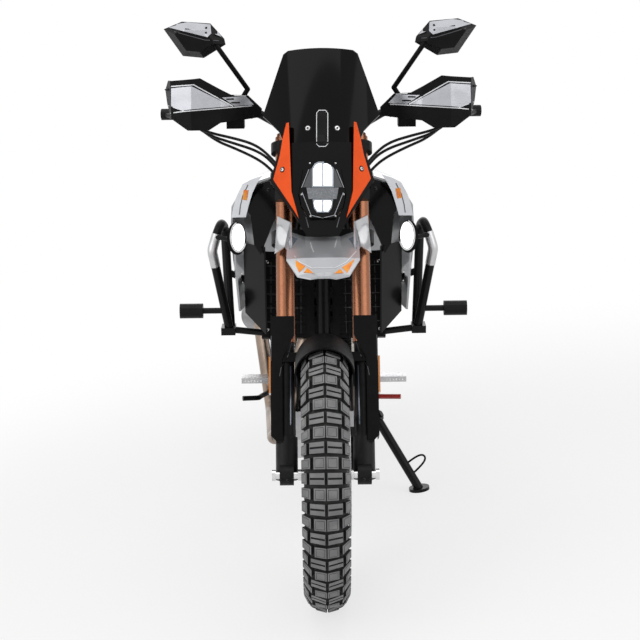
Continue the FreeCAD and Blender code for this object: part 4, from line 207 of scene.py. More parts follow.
class Finishes:
    """Every finish on the machine."""

    TYRE = Finish("tyre_rubber", (0.02, 0.02, 0.021), 0.72, second=(0.05, 0.047, 0.044), spot_scale=18.0,
                  grain_scale=700.0, grain_depth=0.0006, specular=0.25)
    # Lighter tread tops: painted sheen that stands in for the light the blocks' tops catch.
    PAINTED_SHEEN_TREAD = Finish("tread_top_painted_sheen", (0.17, 0.17, 0.175), 0.55, second=(0.25, 0.25, 0.245), spot_scale=30.0,
                   grain_scale=500.0, grain_depth=0.0005)
    BLACK_RIM = Finish("black_anodised", (0.01, 0.01, 0.011), 0.3, 0.2, spot_scale=60.0, specular=0.15)
    BRAKE = Finish("brake_steel", (0.5, 0.5, 0.51), 0.28, 1.0, spot_scale=90.0, grain_scale=500.0,
                   grain_depth=0.0001)
    CHAIN = Finish("chain_steel", (0.32, 0.29, 0.24), 0.38, 1.0, spot_scale=120.0, spot_share=0.6)
    CAST = Finish("cast_black", (0.014, 0.014, 0.015), 0.42, 0.1, grain_scale=600.0, grain_depth=0.0004,
                  specular=0.15)
    COPPER = Finish("copper_anodised", (0.32, 0.135, 0.075), 0.26, 1.0, spot_scale=25.0, spot_share=0.15,
                    stretch=(8.0, 8.0, 1.0))
    BRIGHT = Finish("bright_steel", (0.72, 0.72, 0.72), 0.16, 1.0, spot_scale=70.0, spot_share=0.2)
    BLACK_PLASTIC = Finish("black_plastic", (0.006, 0.006, 0.0065), 0.4, grain_scale=1400.0,
                           grain_depth=0.0003, specular=0.09)
    AMBER = Finish("amber_lens", (0.9, 0.28, 0.015), 0.12, coat=1.0, spot_scale=200.0, spot_share=0.3)
    BLACK_STEEL = Finish("black_steel", (0.007, 0.007, 0.0075), 0.3, coat=0.05, spot_scale=50.0,
                         specular=0.12)
    GRIP = Finish("grip_rubber", (0.014, 0.014, 0.014), 0.8, grain_scale=500.0, grain_depth=0.0006,
                  specular=0.2)
    GREY_PLASTIC = Finish("grey_plastic", (0.34, 0.35, 0.37), 0.36, 0.2, spot_scale=30.0, spot_share=0.15,
                          grain_scale=1200.0, grain_depth=0.0002)
    SMOKE = Finish("smoke_screen", (0.0015, 0.0015, 0.0018), 0.08, spot_scale=12.0, specular=0.12)
    BLACK_GLOSS = Finish("black_gloss", (0.003, 0.003, 0.0035), 0.14, spot_scale=20.0, specular=0.14)
    ORANGE = Finish("orange_paint", (0.93, 0.1, 0.01), 0.35, coat=0.12, spot_scale=20.0, spot_share=0.12,
                    specular=0.15)
    LAMP = Finish("lamp_glass", (0.55, 0.58, 0.62), 0.1, coat=1.0, spot_scale=80.0, spot_share=0.2)
    SILVER = Finish("silver_paint", (0.42, 0.43, 0.45), 0.32, 0.6, coat=0.7, spot_scale=24.0, spot_share=0.1)
    COVER = Finish("engine_cover", (0.2, 0.17, 0.16), 0.42, 0.6, spot_scale=50.0, grain_scale=500.0,
                   grain_depth=0.0003)
    RADIATOR = Finish("radiator_black", (0.007, 0.007, 0.007), 0.45, spot_scale=90.0, specular=0.1)
    PIPE = Finish("pipe_steel", (0.32, 0.25, 0.2), 0.3, 1.0, spot_scale=12.0, spot_share=0.5)
    SILENCER = Finish("silencer_steel", (0.4, 0.4, 0.41), 0.3, 1.0, spot_scale=30.0, stretch=(1.0, 0.1, 1.0))
    SEAT = Finish("seat_vinyl", (0.014, 0.014, 0.015), 0.55, grain_scale=420.0, grain_depth=0.0012,
                  specular=0.3)
    SEAT_TOP = Finish("seat_top_vinyl", (0.024, 0.024, 0.026), 0.7, grain_scale=240.0, grain_depth=0.002,
                      specular=0.25)
    RED_LENS = Finish("red_lens", (0.5, 0.012, 0.01), 0.12, coat=1.0, spot_scale=200.0)
    SPRING = Finish("spring_paint", (0.7, 0.68, 0.62), 0.35, coat=0.5)
    ALUMINIUM = Finish("bright_aluminium", (0.58, 0.58, 0.59), 0.34, 1.0, spot_scale=60.0, spot_share=0.15,
                       grain_scale=700.0, grain_depth=0.0002)
    RED = Finish("red_paint", (0.45, 0.02, 0.012), 0.35, coat=0.6)
    # Near-black: the real dark of bezels and rings, and painted shade in bolt sockets, slots and holes.
    DARK_PART_AND_HOLE_SHADE = Finish("dark_part_and_hole_shade", (0.006, 0.006, 0.006), 0.6, specular=0.15)
    WHITE_LED = Finish("white_led", (1.0, 1.0, 1.0), 0.3, glow=1.6, spot_scale=10.0, spot_share=0.0)
    SHELL = Finish("guard_silver", (0.5, 0.51, 0.55), 0.25, 0.4, coat=0.8, spot_scale=30.0, spot_share=0.12)
    EDGE = Finish("edge_white", (0.75, 0.76, 0.78), 0.3, 0.2, coat=0.6, spot_scale=40.0, spot_share=0.08)
    DARK_GREY = Finish("dark_grey_plastic", (0.07, 0.072, 0.08), 0.35, 0.2, coat=0.3, spot_scale=40.0)
    # Blue-grey of the beak's facets. The same finish is the painted glint down each fork stanchion.
    BLUE_GREY_AND_GLINT = Finish("blue_grey_facet_and_painted_glint", (0.17, 0.2, 0.25), 0.25, 0.3, coat=0.8, spot_scale=40.0,
                       spot_share=0.15)
    SUN = Finish("orange_yellow_stripe", (0.95, 0.33, 0.012), 0.3, coat=0.3, second=(0.9, 0.16, 0.01),
                 spot_scale=60.0, specular=0.2)
    LENS_GREY = Finish("lens_grey", (0.05, 0.054, 0.06), 0.12, coat=0.6, spot_scale=40.0, spot_share=0.2)
    LENS_GLOW = Finish("lens_glow", (0.3, 0.33, 0.37), 0.2, glow=0.25, spot_scale=40.0, spot_share=0.1)
    CRYSTAL = Finish("lens_crystal", (0.14, 0.15, 0.165), 0.15, coat=0.8, second=(0.26, 0.27, 0.29),
                     spot_scale=260.0)
    HINT = Finish("smoke_lip", (0.12, 0.1, 0.1), 0.12, coat=1.0, spot_scale=40.0)
    PLATE = Finish("plate_white", (0.62, 0.63, 0.62), 0.4, coat=0.4, spot_scale=30.0, spot_share=0.06)
    BOLT = Finish("bolt_steel", (0.6, 0.6, 0.6), 0.25, 1.0)
    BLACK_BOLT = Finish("bolt_black", (0.03, 0.03, 0.032), 0.3, 0.7, spot_scale=200.0)


SLOT_FINISH: dict[str, Finish] = {
    "tyre": Finishes.TYRE,
    "wheel_black": Finishes.BLACK_RIM,
    "brake_steel": Finishes.BRAKE,
    "chain_steel": Finishes.CHAIN,
    "cast_grey": Finishes.CAST,
    "fork_copper": Finishes.COPPER,
    "bright_steel": Finishes.BRIGHT,
    "black_plastic": Finishes.BLACK_PLASTIC,
    "amber": Finishes.AMBER,
    "black_steel": Finishes.BLACK_STEEL,
    "grip_rubber": Finishes.GRIP,
    "grey_plastic": Finishes.GREY_PLASTIC,
    "smoke_screen": Finishes.SMOKE,
    "black_gloss": Finishes.BLACK_GLOSS,
    "orange_paint": Finishes.ORANGE,
    "lamp_glass": Finishes.LAMP,
    "silver_paint": Finishes.SILVER,
    "engine_cover": Finishes.COVER,
    "radiator_black": Finishes.RADIATOR,
    "pipe_steel": Finishes.PIPE,
    "silencer_steel": Finishes.SILENCER,
    "seat_vinyl": Finishes.SEAT,
    "red_lens": Finishes.RED_LENS,
    "spring_paint": Finishes.SPRING,
    "bright_aluminium": Finishes.ALUMINIUM,
    "red_paint": Finishes.RED,
}

NODE_FINISH: dict[str, Finish] = {
    "handguards": Finishes.BLACK_PLASTIC,
    "headlight": Finishes.BLACK_GLOSS,
    "fog_lamps": Finishes.BLACK_PLASTIC,
}


@dataclass(frozen=True)
class Lamp:
    """A soft box: where it stands, its width and height, and its power in watts."""

    name: str
    place: tuple[float, float, float]
    size: Place
    power: float


@dataclass
class Studio:
    """The pale floor, the soft lights and the camera at the photograph's angle."""

    camera_place: tuple[float, float, float] = (-0.0094, -4.0, 1.567)
    camera_pitch: float = 0.209
    camera_roll: float = -0.0123
    lens: float = 96.1
    sensor: float = 36.0
    clip_end: float = 200.0
    floor_reach: float = 60.0
    floor_level: float = 0.9
    floor_roughness: float = 0.9
    floor_glow: float = 0.7
    shadow_reach: float = 0.9
    white_reach: float = 2.6
    world_level: float = 0.5
    middle: tuple[float, float, float] = (0.0, 0.0, 0.7)
    lamps: tuple[Lamp, ...] = (
        Lamp("left_box", (-2.8, -2.4, 1.9), (2.6, 3.0), 29.0),
        Lamp("right_box", (2.8, -2.4, 1.9), (2.6, 3.0), 24.0),
        Lamp("top_box", (0.0, -0.8, 3.6), (3.0, 2.4), 29.0),
        Lamp("rear_box", (0.0, 4.2, 2.4), (3.0, 2.4), 24.0),
    )

    def build(self, stance: Stance) -> None:
        """Make the floor, world, lights and camera.

        Args:
            stance: Gives the machine's lean, which the camera shares.
        """
        self.build_world()
        self.build_floor()
        for lamp in self.lamps:
            self.build_lamp(lamp)
        self.build_camera(stance)
        bpy.context.scene.view_settings.view_transform = "Standard"

    def camera_matrix(self, stance: Stance) -> Matrix:
        """The camera's place and turn in the leaning frame.

        Args:
            stance: Gives the machine's lean.

        Returns:
            The camera's matrix.
        """
        look = Matrix.Rotation(math.pi / 2 - self.camera_pitch, 4, "X")
        roll = Matrix.Rotation(self.camera_roll, 4, "Z")
        return stance.matrix @ Matrix.Translation(self.camera_place) @ look @ roll

    def build_camera(self, stance: Stance) -> None:
        """Set the camera in front of the machine.

        Args:
            stance: Gives the machine's lean.
        """
        data = bpy.data.cameras.new("camera")
        data.lens = self.lens
        data.sensor_width = self.sensor
        data.clip_end = self.clip_end
        camera = bpy.data.objects.new("camera", data)
        bpy.context.scene.collection.objects.link(camera)
        camera.matrix_world = self.camera_matrix(stance)
        bpy.context.scene.camera = camera

    def build_world(self) -> None:
        """A white surround for the eye, gloss and glass, and an even light for the rest."""
        world = bpy.data.worlds.new("studio")
        bpy.context.scene.world = world
        world.use_nodes = True
        nodes, links = world.node_tree.nodes, world.node_tree.links
        background = nodes["Background"]
        background.inputs["Color"].default_value = (1.0, 1.0, 1.0, 1.0)
        level = nodes.new("ShaderNodeMapRange")
        level.inputs["To Min"].default_value = self.world_level
        level.inputs["To Max"].default_value = 1.0
        links.new(self.seen_share(nodes, links), level.inputs["Value"])
        links.new(level.outputs["Result"], background.inputs["Strength"])

    def seen_share(self, nodes: bpy.types.Nodes, links: bpy.types.NodeLinks) -> bpy.types.NodeSocket:
        """One for the camera's rays and for rays by way of gloss or glass, and nought for the rest.

        Args:
            nodes: The tree's nodes.
            links: The tree's links.

        Returns:
            The socket that carries the share.
        """
        rays = nodes.new("ShaderNodeLightPath")
        total = rays.outputs["Is Camera Ray"]
        for name in ("Is Glossy Ray", "Is Transmission Ray"):
            add = nodes.new("ShaderNodeMath")
            add.operation = "ADD"
            add.use_clamp = True
            links.new(total, add.inputs[0])
            links.new(rays.outputs[name], add.inputs[1])
            total = add.outputs["Value"]
        return total

    def build_floor(self) -> None:
        """A pale floor that keeps the machine's shadow and runs out into white."""
        mesh = bmesh.new()
        bmesh.ops.create_grid(mesh, x_segments=1, y_segments=1, size=self.floor_reach)
        data = bpy.data.meshes.new("floor")
        mesh.to_mesh(data)
        mesh.free()
        floor = bpy.data.objects.new("floor", data)
        bpy.context.scene.collection.objects.link(floor)
        made = bpy.data.materials.new("floor")
        made.use_nodes = True
        nodes, links = made.node_tree.nodes, made.node_tree.links
        shader = nodes["Principled BSDF"]
        shader.inputs["Base Color"].default_value = (*[self.floor_level] * 3, 1.0)
        shader.inputs["Roughness"].default_value = self.floor_roughness
        glow = nodes.new("ShaderNodeEmission")
        glow.inputs["Strength"].default_value = 1.0
        place = nodes.new("ShaderNodeTexCoord")
        reach = nodes.new("ShaderNodeVectorMath")
        reach.operation = "LENGTH"
        links.new(place.outputs["Object"], reach.inputs[0])
        fade = nodes.new("ShaderNodeMapRange")
        fade.interpolation_type = "SMOOTHSTEP"
        fade.inputs["From Min"].default_value = self.shadow_reach
        fade.inputs["From Max"].default_value = self.white_reach
        fade.inputs["To Min"].default_value = self.floor_glow
        fade.inputs["To Max"].default_value = 1.0
        links.new(reach.outputs["Value"], fade.inputs["Value"])
        share = nodes.new("ShaderNodeMath")
        share.operation = "MULTIPLY"
        links.new(self.seen_share(nodes, links), share.inputs[0])
        links.new(fade.outputs["Result"], share.inputs[1])
        mix = nodes.new("ShaderNodeMixShader")
        links.new(share.outputs["Value"], mix.inputs["Fac"])
        links.new(shader.outputs["BSDF"], mix.inputs[1])
        links.new(glow.outputs["Emission"], mix.inputs[2])
        links.new(mix.outputs["Shader"], nodes["Material Output"].inputs["Surface"])
        data.materials.append(made)

    def build_lamp(self, lamp: Lamp) -> None:
        """Set up one soft box that looks at the machine's middle.

        Args:
            lamp: Its place, size and power.
        """
        data = bpy.data.lights.new(lamp.name, "AREA")
        data.shape = "RECTANGLE"
        data.size, data.size_y = lamp.size
        data.energy = lamp.power
        box = bpy.data.objects.new(lamp.name, data)
        bpy.context.scene.collection.objects.link(box)
        towards = (Vector(self.middle) - Vector(lamp.place)).to_track_quat("-Z", "Y")
        box.matrix_world = Matrix.Translation(lamp.place) @ towards.to_matrix().to_4x4()


def join(whole: bmesh.types.BMesh, part: bmesh.types.BMesh, places: Iterable[Matrix] = (Matrix(),)) -> None:
    """Add copies of a mesh to another, one at each place, and free it.

    Args:
        whole: The mesh that grows.
        part: The mesh that is copied.
        places: Where each copy stands.
    """
    data = bpy.data.meshes.new("part")
    part.to_mesh(data)
    part.free()
    for place in places:
        data.transform(place)
        whole.from_mesh(data)
        data.transform(place.inverted())
    bpy.data.meshes.remove(data)


@dataclass
class Sight:
    """Sight lines of the camera: a place in the 640 by 640 picture gives a place on the machine."""

    lens: float
    sensor: float
    matrix: Matrix
    frame_size: float = 640.0

    def ray(self, across: float, down: float) -> tuple[Vector, Vector]:
        """The line of sight through a place in the picture.

        Args:
            across: Pixels from the left.
            down: Pixels from the top.

        Returns:
            The camera's place and the line's direction.
        """
        reach = self.frame_size * self.lens / self.sensor
        middle = self.frame_size / 2
        way = self.matrix.to_3x3() @ Vector(((across - middle) / reach, (middle - down) / reach, -1.0))
        return self.matrix.translation.copy(), way.normalized()


@dataclass
class Bench:
    """Where pieces are finished: it turns meshes into objects that ride on the machine."""

    stance: Stance
    sight: Sight
    nodes: dict[str, bpy.types.Object]
    trees: dict[str, BVHTree] = field(default_factory=dict)

    def line(self, view: View, first: float, second: float) -> tuple[Vector, Vector]:
        """The line along which a form is dropped.

        Args:
            view: Where it comes from.
            first: The first of the form's two numbers.
            second: The second.

        Returns:
            Its start and its direction in the leaning frame.
        """
        if view is View.FRONT:
            return self.sight.ray(first, second)
        start, way = {
            View.LEFT: ((BESIDE, first, second), (-1.0, 0.0, 0.0)),
            View.RIGHT: ((-BESIDE, first, second), (1.0, 0.0, 0.0)),
            View.REAR: ((first, BEHIND, second), (0.0, -1.0, 0.0)),
            View.TOP: ((first, second, ABOVE), (0.0, 0.0, -1.0)),
        }[view]
        return self.stance.matrix @ (Vector(start) * MM), self.stance.matrix.to_3x3() @ Vector(way)

    def cast(self, nodes: Sequence[str], eye: Vector, way: Vector) -> tuple[float, Vector] | None:
        """The nearest of the nodes' surfaces along a line.

        Args:
            nodes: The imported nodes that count.
            eye: Where the line starts.
            way: Where it goes.

        Returns:
            The distance and the surface's normal, or nothing where the line misses.
        """
        found = [self.tree(node).ray_cast(eye, way) for node in nodes]
        hits = [(depth, normal) for _, normal, _, depth in found if depth is not None]
        return min(hits, key=lambda hit: hit[0]) if hits else None

    def tree(self, node: str) -> BVHTree:
        """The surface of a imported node, for sight lines to fall on.

        Args:
            node: The node's name.

        Returns:
            Its tree of faces, made at its first use.
        """
        if node not in self.trees:
            mesh = bmesh.new()
            mesh.from_mesh(self.nodes[node].data)
            self.trees[node] = BVHTree.FromBMesh(mesh)
            mesh.free()
        return self.trees[node]

    def stand(self, mesh: bmesh.types.BMesh) -> None:
        """Carry a mesh from the upright machine to the leaning one."""
        bmesh.ops.transform(mesh, matrix=self.stance.matrix, verts=mesh.verts)

    def mirror(self, mesh: bmesh.types.BMesh) -> None:
        """Add the other side's twin to a mesh that already leans.

        Args:
            mesh: The mesh of the left or the right side.
        """
        flip = Matrix.Diagonal((-1.0, 1.0, 1.0, 1.0))
        lean = self.stance.matrix
        copied = bmesh.ops.duplicate(mesh, geom=mesh.verts[:] + mesh.edges[:] + mesh.faces[:])["geom"]
        verts = [item for item in copied if isinstance(item, bmesh.types.BMVert)]
        bmesh.ops.transform(mesh, matrix=lean @ flip @ lean.inverted(), verts=verts)

    def finish(
        self,
        name: str,
        mesh: bmesh.types.BMesh,
        body: Body,
        finishes: Sequence[Finish],
        slot: str,
        replaces: Sequence[str] = (),
        smooth: float = 35.0,
    ) -> bpy.types.Object:
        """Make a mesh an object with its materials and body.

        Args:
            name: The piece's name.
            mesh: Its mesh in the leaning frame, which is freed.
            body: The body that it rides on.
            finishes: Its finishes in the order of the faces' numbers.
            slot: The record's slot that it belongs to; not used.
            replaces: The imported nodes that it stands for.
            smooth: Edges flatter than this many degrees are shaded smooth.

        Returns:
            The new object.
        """
        bmesh.ops.recalc_face_normals(mesh, faces=mesh.faces)
        data = bpy.data.meshes.new(name)
        mesh.to_mesh(data)
        mesh.free()
        for finish in finishes:
            data.materials.append(finish.material())
        data.shade_smooth()
        data.set_sharp_from_angle(angle=math.radians(smooth))
        piece = bpy.data.objects.new(name, data)
        bpy.context.scene.collection.objects.link(piece)
        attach(piece, body.value)
        if replaces:
            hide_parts(*replaces)
        LOG.info("made %s with %d faces", name, len(data.polygons))
        return piece


@dataclass(frozen=True)
class Plate:
    """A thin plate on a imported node, its corners placed as its view gives them.

    A corner's third number is extra thickness there, in millimetres. Where a step is given the plate is
    cut across and down at that length, so that it bends with the surface below.
    """

    outline: Outline
    finish: Finish
    thick: float = 1.5
    step: float = 0.0


@dataclass(frozen=True)
class Line:
    """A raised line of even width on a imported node, along places given as its view gives them."""

    points: Outline
    wide: float
    finish: Finish
    thick: float = 1.2
    closed: bool = False
    step: float = 5.0


@dataclass
class Overlay:
    """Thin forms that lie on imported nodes, made on one side and mirrored where asked."""

    name: str
    nodes: tuple[str, ...]
    body: Body
    slot: str
    forms: tuple[Plate | Line, ...]
    twin: bool = True
    view: View = View.FRONT
    deepest: ClassVar[float] = 0.05
    sink: ClassVar[float] = 0.4
    smooth: ClassVar[float] = 20.0

    def build(self, bench: Bench) -> bpy.types.Object:
        """Make every form and join them as one piece.

        Args:
            bench: Where the piece is finished.

        Returns:
            The piece.
        """
        finishes = list(dict.fromkeys(form.finish for form in self.forms))
        whole = bmesh.new()
        for form in self.forms:
            part = self.flat_plate(form) if isinstance(form, Plate) else self.flat_line(form)
            self.lay(bench, part, form.thick)
            for face in part.faces:
                face.material_index = finishes.index(form.finish)
            join(whole, part)
        if self.twin:
            bench.mirror(whole)
        return bench.finish(self.name, whole, self.body, finishes, self.slot, smooth=self.smooth)

    def flat_plate(self, form: Plate) -> bmesh.types.BMesh:
        """The plate's outline laid flat and cut where it has to bend.

        Args:
            form: The plate.

        Returns:
            Its flat mesh, with extra thickness as height.
        """
        mesh = bmesh.new()
        corners = [mesh.verts.new((p[0], p[1], p[2] if len(p) > 2 else 0.0)) for p in form.outline]
        bmesh.ops.triangulate(mesh, faces=[mesh.faces.new(corners)])
        self.cut(mesh, form.step)
        return mesh

    def flat_line(self, form: Line) -> bmesh.types.BMesh:
        """A strip of even width along the line, laid flat and cut where it has to bend.

        Args:
            form: The line.

        Returns:
            Its flat mesh.
        """
        mesh = bmesh.new()
        points = [Vector((x, y, 0.0)) for x, y in form.points]
        count = len(points)
        rails = []
        for n, point in enumerate(points):
            before = points[n - 1] if n or form.closed else point
            after = points[(n + 1) % count] if n + 1 < count or form.closed else point
            run = (after - before).normalized()
            aside = Vector((-run.y, run.x, 0.0)) * (form.wide / 2)
            rails.append((mesh.verts.new(point + aside), mesh.verts.new(point - aside)))
        for n in range(count if form.closed else count - 1):
            near, far = rails[n], rails[(n + 1) % count]
            mesh.faces.new((near[0], far[0], far[1], near[1]))
        self.cut(mesh, form.step)
        return mesh

    def cut(self, mesh: bmesh.types.BMesh, step: float) -> None:
        """Cut a flat form across and down at even steps.

        Args:
            mesh: The flat form.
            step: The distance from cut to cut, or nought for none.
        """
        if not step:
            return
        for axis in (0, 1):
            places = [vert.co[axis] for vert in mesh.verts]
            low, high = min(places), max(places)
            normal = Vector((1.0 - axis, float(axis), 0.0))
            for n in range(1, int((high - low) / step) + 1):
                geom = mesh.verts[:] + mesh.edges[:] + mesh.faces[:]
                bmesh.ops.bisect_plane(mesh, geom=geom, plane_co=normal * (low + n * step), plane_no=normal)

    def lay(self, bench: Bench, mesh: bmesh.types.BMesh, thick: float) -> None:
        """Drop a flat form on to its nodes, with its thickness towards the eye.

        A corner that misses them, or that lies far from the rest, is taken away.

        Args:
            bench: Gives the lines of sight and the nodes' surfaces.
            mesh: The flat form, whose heights are extra thickness in millimetres.
            thick: Its thickness in millimetres.
        """
        found = {
            vert: bench.cast(self.nodes, *bench.line(self.view, vert.co.x, vert.co.y)) for vert in mesh.verts
        }
        depths = sorted(hit[0] for hit in found.values() if hit)
        if not depths:
            raise ValueError(f"{self.name} has a form that misses {self.nodes}")
        usual = depths[len(depths) // 2]
        missed = [vert for vert, hit in found.items() if not hit or abs(hit[0] - usual) > self.deepest]
        bmesh.ops.delete(mesh, geom=missed, context="VERTS")
        backs = set(mesh.verts)
        bmesh.ops.extrude_face_region(mesh, geom=mesh.faces[:], use_keep_orig=True)
        for vert in mesh.verts:
            height = -self.sink if vert in backs else vert.co.z + thick
            eye, way = bench.line(self.view, vert.co.x, vert.co.y)
            vert.co = eye + way * (bench.cast(self.nodes, eye, way)[0] - height * MM)


@dataclass
class Bolts:
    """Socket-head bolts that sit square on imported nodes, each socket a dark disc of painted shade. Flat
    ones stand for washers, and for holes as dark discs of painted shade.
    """

    name: str
    nodes: tuple[str, ...]
    body: Body
    slot: str
    places: Outline
    radius: float
    finish: Finish = Finishes.BOLT
    twin: bool = True
    view: View = View.FRONT
    proud: float = 0.9
    sides: ClassVar[int] = 20
    bevel_share: ClassVar[float] = 0.25
    bevel_steps: ClassVar[int] = 2
    socket_sides: ClassVar[int] = 6
    socket_share: ClassVar[float] = 0.45
    socket_thick: ClassVar[float] = 0.3

    def build(self, bench: Bench) -> bpy.types.Object:
        """Make every bolt and join them as one piece.

        Args:
            bench: Where the piece is finished.

        Returns:
            The piece.
        """
        whole = bmesh.new()
        for place in self.places:
            eye, way = bench.line(self.view, *place)
            hit = bench.cast(self.nodes, eye, way)
            if hit is None:
                raise ValueError(f"{self.name} has a bolt at {place} that misses {self.nodes}")
            depth, normal = hit
            if normal.dot(way) > 0.0:
                normal = -normal
            turn = normal.to_track_quat("Z", "Y").to_matrix().to_4x4()
            self.head(whole, Matrix.Translation(eye + way * depth) @ turn)
        if self.twin:
            bench.mirror(whole)
        # The second finish is the sockets' painted shade.
        return bench.finish(self.name, whole, self.body, (self.finish, Finishes.DARK_PART_AND_HOLE_SHADE), self.slot)

    def head(self, mesh: bmesh.types.BMesh, place: Matrix) -> None:
        """One bolt head with a bevelled rim and a six-sided socket, a thin dark disc on top that paints the
        socket's shade.

        Args:
            mesh: The mesh that it is added to.
            place: Where it stands, with its top along Z.
        """
        radius = self.radius * MM
        height = radius * self.proud
        verts = bmesh.ops.create_cone(
            mesh,
            cap_ends=True,
            segments=self.sides,
            radius1=radius,
            radius2=radius,
            depth=height,
            matrix=place,
        )["verts"]
        faces = {face for vert in verts for face in vert.link_faces}
        out = place.to_3x3() @ Vector((0.0, 0.0, 1.0))
        top = max(faces, key=lambda face: face.calc_center_median().dot(out))
        bmesh.ops.bevel(
            mesh,
            geom=top.edges[:],
            offset=height * self.bevel_share,
            segments=self.bevel_steps,
            profile=0.5,
            affect="EDGES",
            material=-1,
        )
        socket = bmesh.ops.create_cone(
            mesh,
            cap_ends=True,
            segments=self.socket_sides,
            radius1=radius * self.socket_share,
            radius2=radius * self.socket_share,
            depth=self.socket_thick * MM,
            matrix=place @ Matrix.Translation((0.0, 0.0, height / 2)),
        )["verts"]
        # The socket's dark finish is painted shade for its recess.
        for vert in socket:
            for face in vert.link_faces:
                face.material_index = 1


@dataclass(frozen=True)
class Sheet:
    """A flat sheet whose corners are picture places. It stands some millimetres before its shell."""

    corners: Outline
    finish: Finish
    lift: float = 0.0
    thick: float = 3.0


@dataclass
class Shell:
    """Sheets that span an opening.

    The shell's distance from the camera is far, in metres, less slant for each pixel across.
    """

    name: str
    body: Body
    slot: str
    sheets: tuple[Sheet, ...]
    far: float
    slant: float

    def build(self, bench: Bench) -> bpy.types.Object:
        """Make every sheet and its twin as one piece.

        Args:
            bench: Where the piece is finished.

        Returns:
            The piece.
        """
        finishes = list(dict.fromkeys(sheet.finish for sheet in self.sheets))
        whole = bmesh.new()
        for sheet in self.sheets:
            part = self.sheet(sheet, bench)
            for face in part.faces:
                face.material_index = finishes.index(sheet.finish)
            join(whole, part)
        bench.mirror(whole)
        return bench.finish(self.name, whole, self.body, finishes, self.slot)

    def sheet(self, sheet: Sheet, bench: Bench) -> bmesh.types.BMesh:
        """One sheet, closed all round.

        Args:
            sheet: Its corners and thickness.
            bench: Gives the lines of sight.

        Returns:
            The sheet's mesh.
        """
        mesh = bmesh.new()
        front = []
        for across, down in sheet.corners:
            eye, way = bench.line(View.FRONT, across, down)
            front.append(mesh.verts.new(eye + way * (self.far - self.slant * across - sheet.lift * MM)))
        face = mesh.faces.new(front)
        grown = bmesh.ops.extrude_face_region(mesh, geom=[face], use_keep_orig=True)["geom"]
        back = [item for item in grown if isinstance(item, bmesh.types.BMVert)]
        bmesh.ops.translate(mesh, vec=way * sheet.thick * MM, verts=back)
        return mesh


@dataclass
class Tube:
    """Round tubes along smooth lines in the upright machine's millimetres."""

    name: str
    body: Body
    slot: str
    finish: Finish
    radius: float
    routes: tuple[Route, ...]
    twin: bool = True
    round_steps: ClassVar[int] = 3
    length_steps: ClassVar[int] = 8
    order: ClassVar[int] = 3

    def build(self, bench: Bench) -> bpy.types.Object:
        """Make every tube as one curve.

        Args:
            bench: Gives the machine's lean.

        Returns:
            The piece.
        """
        data = bpy.data.curves.new(self.name, "CURVE")
        data.dimensions = "3D"
        data.bevel_depth = self.radius * MM
        data.bevel_resolution = self.round_steps
        data.resolution_u = self.length_steps
        data.use_fill_caps = True
        data.materials.append(self.finish.material())
        for route in self.routes:
            for side in (1.0, -1.0) if self.twin else (1.0,):
                spline = data.splines.new("NURBS")
                spline.points.add(len(route) - 1)
                for point, (x, y, z) in zip(spline.points, route):
                    point.co = (*(bench.stance.matrix @ (Vector((x * side, y, z)) * MM)), 1.0)
                spline.order_u = self.order
                spline.use_endpoint_u = True
        piece = bpy.data.objects.new(self.name, data)
        bpy.context.scene.collection.objects.link(piece)
        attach(piece, self.body.value)
        LOG.info("made %s with %d tubes", self.name, len(data.splines))
        return piece


def ring(middle: Place, radii: Place, count: int, turn: float = 0.0) -> Outline:
    """Places evenly round a circle or an ellipse.

    Args:
        middle: Its middle.
        radii: Its half widths along the view's two numbers.
        count: How many places.
        turn: Where the first one is, in degrees.

    Returns:
        The places.
    """
    angles = [math.radians(turn + n * 360.0 / count) for n in range(count)]
    return tuple((middle[0] + radii[0] * math.cos(a), middle[1] + radii[1] * math.sin(a)) for a in angles)


def chamfered(half: float, low: float, high: float, corner: Place) -> Outline:
    """The outline of an upright plate with its corners cut off.

    Args:
        half: Half its width.
        low: The height of its foot.
        high: The height of its top.
        corner: How far each cut reaches across and up.

    Returns:
        Its eight corners.
    """
    inner = half - corner[0]
    right = ((inner, low), (half, low + corner[1]), (half, high - corner[1]), (inner, high))
    return ((-half, low + corner[1]), (-inner, low), *right, (-inner, high), (-half, high - corner[1]))


@dataclass(frozen=True)
class Block:
    """A tread block: its span over the crown in degrees from the middle, and its share of the row."""

    low: float
    high: float
    share: float
    slotted: bool = False


